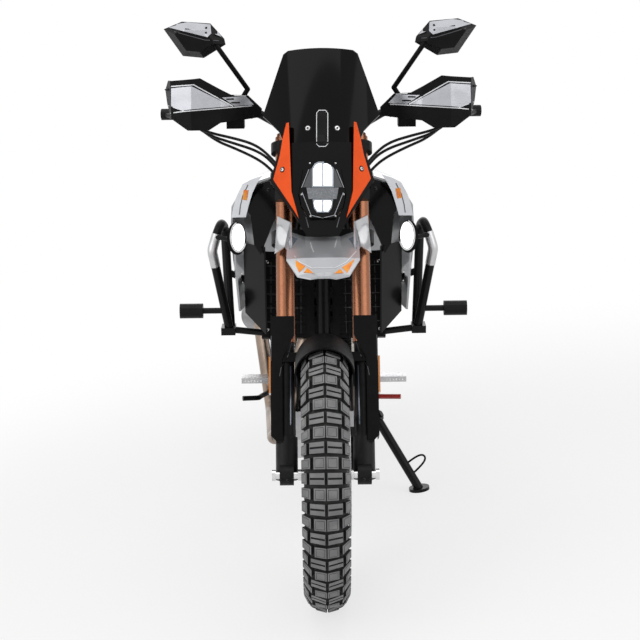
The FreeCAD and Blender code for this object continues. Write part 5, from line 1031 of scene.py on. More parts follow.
@dataclass
class Tyre:
    """A dual-purpose tyre: a round carcass under rows of grooved blocks, their tops lighter as painted sheen.
    """

    name: str
    node: str
    body: Body
    axle: Place
    radius: float
    width: float
    seat: float
    bead: float
    rows: int
    depth: float = 8.0
    steps: int = 116
    crown_step: int = 9
    rim_rise: float = 12.0
    rim_gap: float = 0.4
    bulge: Place = (0.93, 0.45)
    foot_share: float = 0.6
    wide_row: tuple[Block, ...] = (Block(3.5, 40.0, 0.74, True), Block(50.0, 76.0, 0.74))
    narrow_row: tuple[Block, ...] = (Block(1.2, 29.0, 0.78), Block(38.5, 76.0, 0.7))
    edge_inset: float = 0.035
    slot_inset: float = 0.3
    slot_stretch: Place = (1.9, 0.35)
    groove_inset: float = 0.13
    groove_wide: float = 0.045
    wall_inset: float = 0.004
    groove_deep: float = 0.3
    taper: float = 0.1
    root: float = 1.5
    merge_gap: float = 0.01
    smooth: float = 28.0

    def build(self, bench: Bench) -> bpy.types.Object:
        """Make the carcass and every block, and stand them on the axle.

        Args:
            bench: Where the piece is finished.

        Returns:
            The piece.
        """
        whole = self.carcass()
        pitch = math.tau / self.rows
        for first, row in ((0, self.wide_row), (1, self.narrow_row)):
            turns = [Matrix.Rotation(n * pitch, 4, "X") for n in range(first, self.rows, 2)]
            for block in row:
                for side in (1.0, -1.0):
                    join(whole, self.block(block, side), turns)
        bmesh.ops.translate(whole, vec=Vector((0.0, *self.axle)) * MM, verts=whole.verts)
        bench.stand(whole)
        # The second finish, on the blocks' tops, is lighter as painted sheen.
        return bench.finish(
            self.name, whole, self.body, (Finishes.TYRE, Finishes.PAINTED_SHEEN_TREAD), "tyre", (self.node,),
            smooth=self.smooth,
        )

    def at(self, lean: float, drop: float) -> Vector:
        """A point of the crown, in metres, with the axle along X and the top along Z.

        Args:
            lean: Angle from the crown's top in degrees.
            drop: Depth below the blocks' tops in millimetres.

        Returns:
            The point.
        """
        tip = self.width / 2
        reach = tip - drop
        angle = math.radians(lean)
        return Vector((reach * math.sin(angle), 0.0, self.radius - tip + reach * math.cos(angle))) * MM

    def carcass(self) -> bmesh.types.BMesh:
        """The smooth tyre under the blocks, spun about the axle.

        Returns:
            Its mesh round the axle.
        """
        mesh = bmesh.new()
        rim, foot = self.seat + self.rim_rise, self.seat + self.rim_gap
        right = [self.at(lean, self.depth) for lean in range(0, 91, self.crown_step)]
        shoulder = right[-1] / MM
        out, up = self.bulge
        sidewall = (
            (self.bead + (shoulder.x - self.bead) * out, rim + (shoulder.z - rim) * up),
            (self.bead, rim),
            (self.bead, foot),
            (self.bead * self.foot_share, foot),
        )
        right += [Vector((x, 0.0, z)) * MM for x, z in sidewall]
        outline = [Vector((-p.x, p.y, p.z)) for p in reversed(right[1:])] + right
        verts = [mesh.verts.new(p) for p in outline]
        edges = [mesh.edges.new((verts[n - 1], verts[n])) for n in range(len(verts))]
        bmesh.ops.spin(
            mesh,
            geom=verts + edges,
            cent=(0.0, 0.0, 0.0),
            axis=(1.0, 0.0, 0.0),
            angle=math.tau,
            steps=self.steps,
            use_merge=True,
        )
        bmesh.ops.remove_doubles(mesh, verts=mesh.verts, dist=self.merge_gap * MM)
        return mesh

    def block(self, block: Block, side: float) -> bmesh.types.BMesh:
        """One tread block at the top of the wheel, made square and then bent round the crown.

        Args:
            block: Its span and share.
            side: One for the left half of the crown and minus one for the right.

        Returns:
            The block's mesh.
        """
        mesh = bmesh.new()
        verts = bmesh.ops.create_cube(mesh, size=1.0)["verts"]
        faces = {face for vert in verts for face in vert.link_faces}
        top = max(faces, key=lambda face: face.calc_center_median().z)
        rim = bmesh.ops.inset_region(mesh, faces=[top], thickness=self.edge_inset)["faces"]
        sunk, tops = self.slot(mesh, top) if block.slotted else self.groove(mesh, top)
        for vert in sunk:
            vert.co.z -= self.groove_deep
        # The tops and their rims take the lighter finish: painted sheen for the light they catch.
        for face in [*tops, *rim]:
            face.material_index = 1
        pitch = math.tau / self.rows
        for vert in mesh.verts:
            across, along, up = vert.co.x + 0.5, vert.co.y, vert.co.z - 0.5
            lean = block.low + (block.high - block.low) * across
            spot = self.at(side * lean, -up * (self.depth + self.root))
            spot.rotate(Matrix.Rotation(along * pitch * block.share * (1.0 - self.taper * up), 3, "X"))
            vert.co = spot
        return mesh

    def slot(
        self, mesh: bmesh.types.BMesh, top: bmesh.types.BMFace
    ) -> tuple[list[bmesh.types.BMVert], list[bmesh.types.BMFace]]:
        """Cut the long slot into a block's top.

        Args:
            mesh: The square block.
            top: Its top face.

        Returns:
            The corners to sink and the faces that stay as tread.
        """
        tread = bmesh.ops.inset_region(mesh, faces=[top], thickness=self.slot_inset)["faces"]
        middle = top.calc_center_median()
        for vert in top.verts:
            vert.co.x = middle.x + (vert.co.x - middle.x) * self.slot_stretch[0]
            vert.co.y = middle.y + (vert.co.y - middle.y) * self.slot_stretch[1]
        bmesh.ops.inset_region(mesh, faces=[top], thickness=self.wall_inset)
        return list(top.verts), tread

    def groove(
        self, mesh: bmesh.types.BMesh, top: bmesh.types.BMFace
    ) -> tuple[list[bmesh.types.BMVert], list[bmesh.types.BMFace]]:
        """Cut the narrow groove that runs round inside a block's top.

        Args:
            mesh: The square block.
            top: Its top face.

        Returns:
            The corners to sink and the faces that stay as tread.
        """
        tread = bmesh.ops.inset_region(mesh, faces=[top], thickness=self.groove_inset)["faces"]
        floor = bmesh.ops.inset_region(mesh, faces=[top], thickness=self.groove_wide)["faces"]
        bmesh.ops.inset_region(mesh, faces=floor, thickness=self.wall_inset)
        return list({vert for face in floor for vert in face.verts}), tread + [top]


@dataclass
class Handguards:
    """The guards' faceted silver shells with their lips, bright edges, slots painted dark as shade, and
    screws.
    """

    nodes: tuple[str, ...] = ("handguards",)
    shells: tuple[Plate, ...] = (
        Plate(
            ((161.5, 89.2, 1.0), (191.5, 86.3, 9.0), (191.5, 109.3, 9.0), (183.3, 110.4, 6.0),
             (163.5, 103.6, 2.0), (161.1, 100.7, 1.0)),
            Finishes.SHELL, step=5.0,
        ),
        Plate(((191.5, 86.3, 9.0), (231.7, 106.2, 1.0), (191.5, 109.3, 9.0)), Finishes.SHELL, step=5.0),
        Plate(
            ((222.0, 97.5, 3.0), (246.0, 96.3, 2.0), (253.8, 104.6, 1.0), (234.5, 106.0, 1.0)),
            Finishes.SHELL, step=5.0,
        ),
    )
    lips: tuple[Plate, ...] = (
        Plate(((165.0, 86.0), (167.5, 79.7), (198.0, 77.6), (193.7, 84.8)), Finishes.HINT, thick=3.0),
        Plate(
            ((200.5, 78.5), (229.0, 95.0), (224.0, 96.5), (210.0, 94.0), (196.0, 84.5)),
            Finishes.HINT, thick=2.0,
        ),
    )
    edges: tuple[Line, ...] = (
        Line(
            ((161.5, 101.0), (161.7, 89.5), (164.0, 87.0), (193.5, 84.8), (233.0, 106.3)),
            1.1, Finishes.EDGE, thick=4.0,
        ),
        Line(
            ((170.0, 113.2), (184.0, 111.4), (201.0, 110.0), (218.0, 108.6), (236.0, 107.1), (252.0, 105.8)),
            1.0, Finishes.EDGE, thick=3.0,
        ),
        Line(((163.5, 104.0), (183.5, 110.8)), 0.9, Finishes.EDGE, thick=3.0),
        Line(((199.5, 77.6), (232.0, 94.5), (235.0, 95.5), (246.0, 96.0)), 0.9, Finishes.EDGE, thick=2.5),
    )
    # The slots are dark raised strips: painted shade where the slots open.
    slots: tuple[Line, ...] = (
        Line(((226.5, 99.3), (234.0, 99.0)), 1.4, Finishes.DARK_PART_AND_HOLE_SHADE, thick=5.0),
        Line(((231.5, 102.8), (240.0, 102.5)), 1.4, Finishes.DARK_PART_AND_HOLE_SHADE, thick=5.0),
    )
    screws: Outline = ((167.6, 89.6), (219.6, 97.6))
    screw_radius: float = 3.0
    screw_proud: float = 5.0

    def build(self, bench: Bench) -> None:
        """Lay the shells and drive the screws.

        Args:
            bench: Where the pieces are finished.
        """
        forms = self.shells + self.lips + self.edges + self.slots
        Overlay("handguard_shells", self.nodes, Body.STEERING, "grey_plastic", forms).build(bench)
        Bolts("handguard_screws", self.nodes, Body.STEERING, "grey_plastic", self.screws, self.screw_radius,
              Finishes.BLACK_BOLT, proud=self.screw_proud).build(bench)


@dataclass
class Mirrors:
    """The silver facets on the mirrors' front shells, over a dark seam."""

    facets: tuple[Plate, ...] = (
        Plate(
            ((168.4, 27.4), (172.0, 24.8), (187.3, 22.2, 1.0), (210.5, 24.4), (211.2, 33.4, 3.0),
             (207.4, 37.2, 1.0)),
            Finishes.SHELL, thick=2.2, step=4.0,
        ),
        Plate(
            ((213.4, 26.0), (226.1, 39.6), (221.7, 36.8, 1.0), (213.4, 33.6, 3.0)),
            Finishes.SHELL, thick=2.2, step=4.0,
        ),
    )
    seam: Line = Line(
        ((174.0, 31.5), (190.0, 36.0), (205.0, 40.0), (219.0, 40.6)), 0.7, Finishes.DARK_GREY, thick=1.0
    )

    def build(self, bench: Bench) -> None:
        """Lay the facets and the seam."""
        forms = (*self.facets, self.seam)
        Overlay("mirror_facets", ("mirrors",), Body.STEERING, "black_plastic", forms).build(bench)


@dataclass
class ControlCables:
    """The cables that run from each switch housing to behind the cowl."""

    radius: float = 3.6
    routes: tuple[Route, ...] = (
        ((336.0, 452.0, 1150.0), (300.0, 420.0, 1124.0), (230.0, 376.0, 1106.0), (164.0, 330.0, 1090.0),
         (126.0, 286.0, 1068.0), (106.0, 240.0, 1046.0)),
        ((330.0, 470.0, 1146.0), (284.0, 430.0, 1110.0), (214.0, 376.0, 1088.0), (156.0, 322.0, 1066.0),
         (124.0, 276.0, 1044.0), (102.0, 232.0, 1026.0)),
        ((344.0, 440.0, 1146.0), (290.0, 400.0, 1130.0), (226.0, 356.0, 1120.0), (170.0, 318.0, 1108.0),
         (132.0, 276.0, 1084.0), (110.0, 238.0, 1062.0)),
    )

    def build(self, bench: Bench) -> None:
        """Run the cables on both sides."""
        Tube("control_cables", Body.STEERING, "black_plastic", Finishes.BLACK_PLASTIC, self.radius,
             self.routes).build(bench)


@dataclass
class Headlight:
    """The lamp's dark bezels, lit blocks, crystal bar, bright outline and rivets."""

    bezels: tuple[Plate, ...] = (
        Plate(
            ((322.7, 156.6), (332.3, 162.6), (342.4, 187.2), (303.0, 187.2), (313.0, 162.6)),
            Finishes.LENS_GREY, thick=1.0, step=6.0,
        ),
        Plate(
            ((303.2, 194.2), (342.2, 194.2), (333.8, 213.4), (322.7, 217.0), (311.6, 213.4)),
            Finishes.DARK_PART_AND_HOLE_SHADE, thick=1.0, step=6.0,
        ),
    )
    crystal: Plate = Plate(
        ((306.4, 187.6), (338.6, 187.6), (336.6, 199.0), (308.6, 199.0)),
        Finishes.CRYSTAL, thick=2.0, step=6.0,
    )
    glows: tuple[Plate, ...] = (
        Plate(
            ((312.0, 168.0), (314.6, 163.6), (318.4, 161.6), (327.2, 161.6), (331.0, 163.6), (333.6, 168.0),
             (333.6, 187.2), (312.0, 187.2)),
            Finishes.LENS_GLOW, thick=3.0, step=6.0,
        ),
        Plate(
            ((312.6, 199.4), (333.0, 199.4), (331.8, 208.0), (328.6, 212.4), (317.0, 212.4), (313.8, 208.0)),
            Finishes.LENS_GLOW, thick=3.0,
        ),
    )
    upper_blocks: tuple[Outline, ...] = (
        ((313.6, 169.0), (315.6, 165.2), (318.4, 163.6), (321.8, 163.6), (321.8, 185.6), (313.6, 185.6)),
        ((323.8, 163.6), (327.2, 163.6), (330.0, 165.2), (332.0, 169.0), (332.0, 185.6), (323.8, 185.6)),
    )
    lower_blocks: tuple[Outline, ...] = (
        ((315.0, 200.4), (321.8, 200.4), (321.8, 211.1), (317.6, 211.1), (315.2, 207.4), (313.8, 203.0)),
        ((323.8, 200.4), (330.6, 200.4), (331.8, 203.0), (330.4, 207.4), (328.0, 211.1), (323.8, 211.1)),
    )
    upper_thick: float = 5.0
    lower_thick: float = 4.5
    outline: tuple[Outline, ...] = (
        ((302.2, 192.6), (311.0, 215.2), (322.7, 218.0), (334.4, 215.2), (343.3, 192.6)),
        ((322.7, 154.8), (312.2, 161.2), (301.6, 187.6)),
        ((322.7, 154.8), (333.2, 161.2), (343.8, 187.6)),
    )
    outline_wide: float = 0.7
    outline_thick: float = 1.8
    rivets: Outline = (
        (310.0, 163.2), (335.5, 163.2), (301.6, 194.5), (343.7, 194.3), (310.5, 216.2), (335.5, 216.0)
    )
    rivet_radius: float = 2.2

    def build(self, bench: Bench) -> None:
        """Lay the lens and set the rivets.

        Args:
            bench: Where the pieces are finished.
        """
        forms = [*self.bezels, self.crystal, *self.glows]
        forms += [Plate(outline, Finishes.WHITE_LED, thick=self.upper_thick) for outline in self.upper_blocks]
        forms += [Plate(outline, Finishes.WHITE_LED, thick=self.lower_thick) for outline in self.lower_blocks]
        forms += [
            Line(points, self.outline_wide, Finishes.GREY_PLASTIC, thick=self.outline_thick)
            for points in self.outline
        ]
        Overlay("headlight_lens", ("headlight",), Body.STEERING, "lamp_glass", tuple(forms),
                twin=False).build(bench)
        Bolts("headlight_rivets", ("headlight", "cowl"), Body.STEERING, "lamp_glass", self.rivets,
              self.rivet_radius, twin=False).build(bench)


@dataclass
class Screen:
    """The screen's slot with its pale edge and a dark plate of painted shade inside, the creases of the cowl
    below, and the two ringed bolts.
    """

    nodes: tuple[str, ...] = ("screen", "cowl")
    forms: tuple[Plate | Line, ...] = (
        Line(
            ((316.6, 144.0), (316.6, 113.0), (319.0, 110.2), (325.4, 110.2), (327.8, 113.0), (327.8, 144.0),
             (325.4, 146.4), (319.0, 146.4)),
            0.7, Finishes.EDGE, closed=True,
        ),
        # A dark plate fills the slot: painted shade for its opening.
        Plate(
            ((317.2, 113.5), (320.0, 111.0), (324.6, 111.0), (327.2, 113.5), (327.2, 144.0), (317.2, 144.0)),
            Finishes.DARK_PART_AND_HOLE_SHADE, thick=0.8, step=8.0,
        ),
        Line(((299.3, 192.0), (308.6, 227.5)), 0.9, Finishes.DARK_GREY),
        Line(((346.1, 192.0), (336.8, 227.5)), 0.9, Finishes.DARK_GREY),
    )
    bolts: Outline = ((307.9, 128.5), (337.1, 128.5))
    ring_radius: float = 9.4
    ring_proud: float = 0.25
    bolt_radius: float = 6.4
    bolt_proud: float = 1.1

    def build(self, bench: Bench) -> None:
        """Lay the slot and the creases, and set the bolts on their rings.

        Args:
            bench: Where the pieces are finished.
        """
        Overlay("screen_slot", self.nodes, Body.STEERING, "smoke_screen", self.forms, twin=False).build(bench)
        Bolts("screen_bolt_rings", self.nodes, Body.STEERING, "smoke_screen", self.bolts, self.ring_radius,
              Finishes.DARK_PART_AND_HOLE_SHADE, twin=False, proud=self.ring_proud).build(bench)
        Bolts("screen_bolts", self.nodes, Body.STEERING, "smoke_screen", self.bolts, self.bolt_radius,
              twin=False, proud=self.bolt_proud).build(bench)


@dataclass
class CowlTrims:
    """The bolt through each orange trim, on a dark ring."""

    nodes: tuple[str, ...] = ("cowl_trims",)
    bolts: Outline = ((282.4, 169.6),)
    ring_radius: float = 7.4
    ring_proud: float = 0.2
    bolt_radius: float = 4.8

    def build(self, bench: Bench) -> None:
        """Set the bolts on their rings.

        Args:
            bench: Where the pieces are finished.
        """
        Bolts("trim_bolt_rings", self.nodes, Body.STEERING, "orange_paint", self.bolts, self.ring_radius,
              Finishes.DARK_PART_AND_HOLE_SHADE, proud=self.ring_proud).build(bench)
        Bolts("trim_bolts", self.nodes, Body.STEERING, "orange_paint", self.bolts,
              self.bolt_radius).build(bench)


@dataclass
class Beak:
    """The beak's blue-grey facets, orange stripes and pale creases."""

    facets: tuple[Outline, ...] = (
        ((286.4, 233.4), (297.8, 238.7), (289.6, 249.4)),
        ((359.8, 233.4), (348.4, 238.7), (356.6, 249.4)),
    )
    facet_step: float = 4.0
    stripes: tuple[Outline, ...] = (
        ((291.6, 257.6), (305.4, 266.3), (299.3, 272.4)),
        ((307.5, 267.8), (313.6, 273.4), (303.9, 272.4)),
        ((355.0, 258.6), (342.2, 267.3), (347.4, 273.0)),
        ((340.2, 268.8), (334.1, 273.6), (343.7, 272.9)),
    )
    stripe_thick: float = 1.0
    creases: tuple[Line, ...] = (
        Line(((309.0, 237.4), (311.6, 247.0), (313.6, 252.0)), 0.8, Finishes.EDGE, thick=1.4),
        Line(((337.4, 237.4), (334.8, 247.0), (332.8, 252.0)), 0.8, Finishes.EDGE, thick=1.4),
        Line(
            ((290.0, 251.0), (300.0, 262.0), (312.0, 268.0), (334.4, 268.0), (346.4, 262.0), (356.4, 251.0)),
            0.7, Finishes.EDGE, thick=1.0,
        ),
    )

    def build(self, bench: Bench) -> None:
        """Lay the facets, stripes and creases.

        Args:
            bench: Where the piece is finished.
        """
        facets = tuple(Plate(outline, Finishes.BLUE_GREY_AND_GLINT, step=self.facet_step) for outline in self.facets)
        stripes = tuple(Plate(outline, Finishes.SUN, thick=self.stripe_thick) for outline in self.stripes)
        Overlay("beak_facets", ("beak",), Body.STEERING, "silver_paint", facets + stripes + self.creases,
                twin=False).build(bench)


@dataclass
class Tank:
    """The silver front of each tank panel with its seam and stripe, the panel's bolt, and the filler cap."""

    sheets: tuple[Sheet, ...] = (
        Sheet(
            ((262.4, 175.6), (250.6, 179.6), (242.6, 184.4), (237.0, 195.4), (233.4, 206.0), (231.4, 217.6),
             (245.8, 217.2), (248.8, 205.0), (252.4, 193.0), (257.2, 183.0)),
            Finishes.SILVER, thick=16.0,
        ),
        Sheet(
            ((247.6, 184.4), (248.4, 185.2), (243.2, 196.2), (240.8, 206.2), (239.8, 214.6), (238.8, 214.6),
             (239.8, 206.0), (242.2, 195.8)),
            Finishes.DARK_GREY, lift=0.6,
        ),
        Sheet(((243.6, 189.8), (248.4, 190.2), (246.8, 200.4), (242.6, 199.8)), Finishes.SUN, lift=1.2),
    )
    far: float = 4.7045
    slant: float = 0.00097
    bolt: Place = (268.4, 190.0)
    bolt_radius: float = 5.2
    cap: Place = (0.0, 600.0)
    cap_radius: float = 34.0
    cap_proud: float = 0.22
    cap_bolt_reach: float = 27.0
    cap_bolt_count: int = 6
    cap_bolt_radius: float = 3.0
    cap_bolt_proud: float = 3.2

    def build(self, bench: Bench) -> None:
        """Make the panels' fronts, their bolts and the cap.

        Args:
            bench: Where the pieces are finished.
        """
        Shell("tank_panel_lines", Body.CHASSIS, "silver_paint", self.sheets, self.far,
              self.slant).build(bench)
        Bolts("tank_bolt", ("shrouds", "side_panels"), Body.CHASSIS, "black_gloss", (self.bolt,),
              self.bolt_radius, Finishes.BLACK_BOLT).build(bench)
        Bolts("tank_cap", ("fuel_tank",), Body.CHASSIS, "black_gloss", (self.cap,), self.cap_radius,
              Finishes.BRIGHT, twin=False, view=View.TOP, proud=self.cap_proud).build(bench)
        places = ring(self.cap, (self.cap_bolt_reach, self.cap_bolt_reach), self.cap_bolt_count)
        Bolts("tank_cap_bolts", ("fuel_tank",), Body.CHASSIS, "black_gloss", places, self.cap_bolt_radius,
              Finishes.BLACK_BOLT, twin=False, view=View.TOP, proud=self.cap_bolt_proud).build(bench)


@dataclass
class FogLamps:
    """The lit lens of each fog lamp in its bright rim."""

    middle: Place = (238.3, 237.2)
    lens: Place = (6.6, 13.4)
    lens_steps: int = 24
    lens_thick: float = 3.0
    rim: Place = (7.7, 14.6)
    rim_steps: int = 28
    rim_wide: float = 1.4
    rim_thick: float = 4.5

    def build(self, bench: Bench) -> None:
        """Lay the lens and the rim.

        Args:
            bench: Where the piece is finished.
        """
        lens = Plate(ring(self.middle, self.lens, self.lens_steps), Finishes.WHITE_LED, thick=self.lens_thick)
        circle = ring(self.middle, self.rim, self.rim_steps)
        rim = Line(circle, self.rim_wide, Finishes.BRIGHT, thick=self.rim_thick, closed=True)
        Overlay("fog_lamp_lenses", ("fog_lamps",), Body.CHASSIS, "lamp_glass", (lens, rim)).build(bench)


@dataclass
class Radiators:
    """The grid before each radiator and the two bolts at its outer edge."""

    columns: tuple[float, ...] = tuple(265.0 + 6.0 * n for n in range(7))
    rows: tuple[float, ...] = tuple(266.0 + 14.0 * n for n in range(5))
    low: Place = (263.0, 262.0)
    high: Place = (303.0, 334.0)
    wire_wide: float = 0.45
    wire_thick: float = 1.5
    bolts: Outline = ((267.4, 262.0), (267.4, 330.0))
    bolt_radius: float = 4.6

    def build(self, bench: Bench) -> None:
        """Lay the grid and set the bolts.

        Args:
            bench: Where the pieces are finished.
        """
        wires = [((x, self.low[1]), (x, self.high[1])) for x in self.columns]
        wires += [((self.low[0], y), (self.high[0], y)) for y in self.rows]
        forms = tuple(Line(wire, self.wire_wide, Finishes.DARK_GREY, thick=self.wire_thick) for wire in wires)
        Overlay("radiator_grid", ("radiators",), Body.CHASSIS, "radiator_black", forms).build(bench)
        Bolts("radiator_bolts", ("radiators",), Body.CHASSIS, "radiator_black", self.bolts,
              self.bolt_radius).build(bench)


@dataclass
class Fork:
    """The edges of the fork guards, a painted glint down each leg, and the bolts that pinch the axle."""

    nodes: tuple[str, ...] = ("fork_guards", "fork_legs", "front_fender")
    edges: tuple[Line, ...] = (
        Line(
            ((301.2, 332.5), (292.6, 340.0), (288.0, 355.6), (281.0, 368.2), (279.6, 376.2)),
            0.8, Finishes.DARK_GREY,
        ),
        # Painted highlight: a pale blue-grey strip stands in for the glint down the stanchion.
        Line(((290.6, 366.0), (290.6, 425.0)), 1.1, Finishes.BLUE_GREY_AND_GLINT, thick=0.8),
        Line(((271.2, 336.0), (270.4, 430.0)), 0.8, Finishes.DARK_GREY, thick=0.9),
    )
    bolts: Outline = ((281.0, 480.0), (288.0, 480.0))
    bolt_radius: float = 4.6

    def build(self, bench: Bench) -> None:
        """Lay the edges and the painted glint, and set the bolts.

        Args:
            bench: Where the pieces are finished.
        """
        Overlay("fork_edges_and_glint", self.nodes, Body.STEERING, "black_plastic", self.edges).build(bench)
        Bolts("axle_pinch_bolts", ("fork_legs",), Body.STEERING, "cast_grey", self.bolts, self.bolt_radius,
              Finishes.BLACK_BOLT).build(bench)


@dataclass
class FootPegs:
    """The teeth along each foot peg."""

    teeth: tuple[float, ...] = tuple(245.5 + 3.1 * n for n in range(6))
    low: float = 377.0
    high: float = 384.0
    wide: float = 1.3
    thick: float = 5.0

    def build(self, bench: Bench) -> None:
        """Raise the teeth.

        Args:
            bench: Where the piece is finished.
        """
        forms = tuple(
            Line(((x, self.low), (x, self.high)), self.wide, Finishes.EDGE, thick=self.thick)
            for x in self.teeth
        )
        Overlay("peg_teeth", ("foot_pegs",), Body.CHASSIS, "bright_aluminium", forms).build(bench)


@dataclass
class Seat:
    """The stepped padded seat: a crowned vinyl cover with sewn channels round its top and across it.

    Each station is a place, a half width, and the heights of the foot and the top. The section's
    points are shares of the half width and of the height.
    """

    stations: tuple[tuple[float, float, float, float], ...] = (
        (790.0, 60.0, 840.0, 876.0),
        (800.0, 66.0, 836.0, 874.0),
        (860.0, 92.0, 790.0, 834.0),
        (980.0, 128.0, 782.0, 817.0),
        (1150.0, 131.0, 800.0, 838.0),
        (1215.0, 127.0, 812.0, 882.0),
        (1380.0, 117.0, 838.0, 904.0),
        (1505.0, 96.0, 860.0, 912.0),
        (1520.0, 88.0, 864.0, 906.0),
    )
    channels: tuple[float, ...] = (915.0, 1045.0, 1290.0, 1420.0)
    channel_half: float = 7.0
    channel_sink: float = 5.0
    section: Outline = (
        (0.0, 0.0),
        (0.5, 0.0),
        (0.88, 0.02),
        (0.97, 0.25),
        (1.0, 0.48),
        (0.985, 0.66),
        (0.965, 0.72),
        (0.925, 0.75),
        (0.955, 0.79),
        (0.9, 0.93),
        (0.74, 1.0),
        (0.4, 1.03),
        (0.0, 1.035),
    )
    crown_from: float = 0.9
    seam_index: int = 7
    seam_slack: float = 1.02
    smooth: float = 180.0
    smooth_steps: int = 2
    end_gap: float = 0.1

    def build(self, bench: Bench) -> None:
        """Args:
            bench: Where the piece is finished.
        """
        mesh = bmesh.new()
        rings = [self.ring(mesh, *station) for station in self.cuts()]
        for near, far in zip(rings, rings[1:]):
            bmesh.ops.bridge_loops(mesh, edges=near + far)
        for end in (rings[0], rings[-1]):
            bmesh.ops.holes_fill(mesh, edges=end)
        self.mark_top(mesh)
        bench.stand(mesh)
        finishes = (Finishes.SEAT, Finishes.SEAT_TOP)
        piece = bench.finish("seat_pad", mesh, Body.CHASSIS, finishes, "seat_vinyl", ("seat",),
                             smooth=self.smooth)
        rounder = piece.modifiers.new("rounder", "SUBSURF")
        rounder.levels = rounder.render_levels = self.smooth_steps

    def cuts(self) -> list[tuple[float, float, float, float, float]]:
        """The cross-sections in order, with three for each channel.

        Returns:
            Each one's place, half width, foot, top and sink.
        """
        found = [(*station, 0.0) for station in self.stations]
        for place in self.channels:
            for step, sink in ((-self.channel_half, 0.0), (0.0, self.channel_sink), (self.channel_half, 0.0)):
                found.append((*self.between(place + step), sink))
        return sorted(found)

    def between(self, place: float) -> tuple[float, float, float, float]:
        """The seat's sizes at a place between two stations.

        Args:
            place: How far back it is, in millimetres.

        Returns:
            A station for that place.
        """
        near = max(station for station in self.stations if station[0] <= place)
        far = min(station for station in self.stations if station[0] > place)
        share = (place - near[0]) / (far[0] - near[0])
        return tuple(a + (b - a) * share for a, b in zip(near, far))

    def ring(
        self, mesh: bmesh.types.BMesh, place: float, half: float, foot: float, top: float, sink: float
    ) -> list[bmesh.types.BMEdge]:
        """One cross-section, sunk over its crown where a channel runs.

        Args:
            mesh: The mesh that it is added to.
            place: How far back it is, in millimetres.
            half: Half its width.
            foot: The height of its foot.
            top: The height of its top.
            sink: How deep the channel is.

        Returns:
            Its closed loop of edges.
        """
        right = []
        for out, up in self.section:
            drop = sink if up > self.crown_from else 0.0
            right.append(Vector((half * out, place, foot + (top - foot) * up - drop)) * MM)
        whole = right + [Vector((-p.x, p.y, p.z)) for p in reversed(right[1:-1])]
        verts = [mesh.verts.new(p) for p in whole]
        return [mesh.edges.new((verts[n - 1], verts[n])) for n in range(len(verts))]

    def mark_top(self, mesh: bmesh.types.BMesh) -> None:
        """Give the faces inside the sewn seam the grippier vinyl.

        Args:
            mesh: The bridged seat.
        """
        out_share, up_share = self.section[self.seam_index]
        for face in mesh.faces:
            middle = face.calc_center_median() / MM
            place = min(max(middle.y, self.stations[0][0]), self.stations[-1][0] - self.end_gap)
            _, half, foot, top = self.between(place)
            beside = abs(middle.x) < half * out_share * self.seam_slack
            face.material_index = int(beside and middle.z > foot + (top - foot) * up_share)


@dataclass
class CrashBars:
    """A bright aluminium tube laid round the upper bend of each crash bar."""

    radius: float = 13.4
    bend: Route = (
        (285.4, 471.8, 768.0), (289.5, 466.5, 792.0), (293.0, 462.0, 812.0), (287.5, 464.9, 829.8),
        (279.8, 468.9, 854.5),
    )

    def build(self, bench: Bench) -> None:
        """Lay the bright tubes over the bends."""
        Tube("crash_bar_bright_tubes", Body.CHASSIS, "bright_aluminium", Finishes.ALUMINIUM, self.radius,
             (self.bend,)).build(bench)


@dataclass
class SideStand:
    """The wire hook by which a boot swings the side stand down."""

    radius: float = 3.0
    hook: Route = (
        (234.0, 817.0, 107.0), (262.0, 818.0, 130.0), (287.0, 818.0, 140.0), (297.0, 818.0, 126.0),
        (280.0, 815.0, 102.0), (252.0, 810.0, 78.0),
    )

    def build(self, bench: Bench) -> None:
        """Bend the hook."""
        Tube("stand_hook", Body.SIDE_STAND, "black_steel", Finishes.BLACK_STEEL, self.radius, (self.hook,),
             twin=False).build(bench)


@dataclass
class EngineCovers:
    """The rings of bolts round the generator's and the clutch's covers."""

    generator: Place = (610.0, 385.0)
    generator_reach: float = 58.0
    generator_count: int = 7
    generator_turn: float = 12.0
    clutch: Place = (740.0, 392.0)
    clutch_reach: float = 68.0
    clutch_count: int = 8
    clutch_turn: float = 5.0
    bolt_radius: float = 5.0

    def build(self, bench: Bench) -> None:
        """Set the bolts of both covers.

        Args:
            bench: Where the pieces are finished.
        """
        left = ring(self.generator, (self.generator_reach,) * 2, self.generator_count, self.generator_turn)
        Bolts("generator_bolts", ("generator_cover",), Body.CHASSIS, "engine_cover", left, self.bolt_radius,
              twin=False, view=View.LEFT).build(bench)
        right = ring(self.clutch, (self.clutch_reach,) * 2, self.clutch_count, self.clutch_turn)
        Bolts("clutch_bolts", ("clutch_cover",), Body.CHASSIS, "engine_cover", right, self.bolt_radius,
              twin=False, view=View.RIGHT).build(bench)


@dataclass
class BrakeDisc:
    """The holes round a brake disc, as dark discs of painted shade."""

    name: str
    node: str
    body: Body
    view: View
    axle: Place
    reach: float
    count: int
    radius: float = 3.4
    proud: float = 0.2

    def build(self, bench: Bench) -> None:
        """Mark the holes with dark discs of painted shade.

        Args:
            bench: Where the piece is finished.
        """
        places = ring(self.axle, (self.reach, self.reach), self.count)
        # Flat near-black discs: painted shade where the holes are.
        Bolts(self.name, (self.node,), self.body, "brake_steel", places, self.radius, Finishes.DARK_PART_AND_HOLE_SHADE,
              twin=False, view=self.view, proud=self.proud).build(bench)


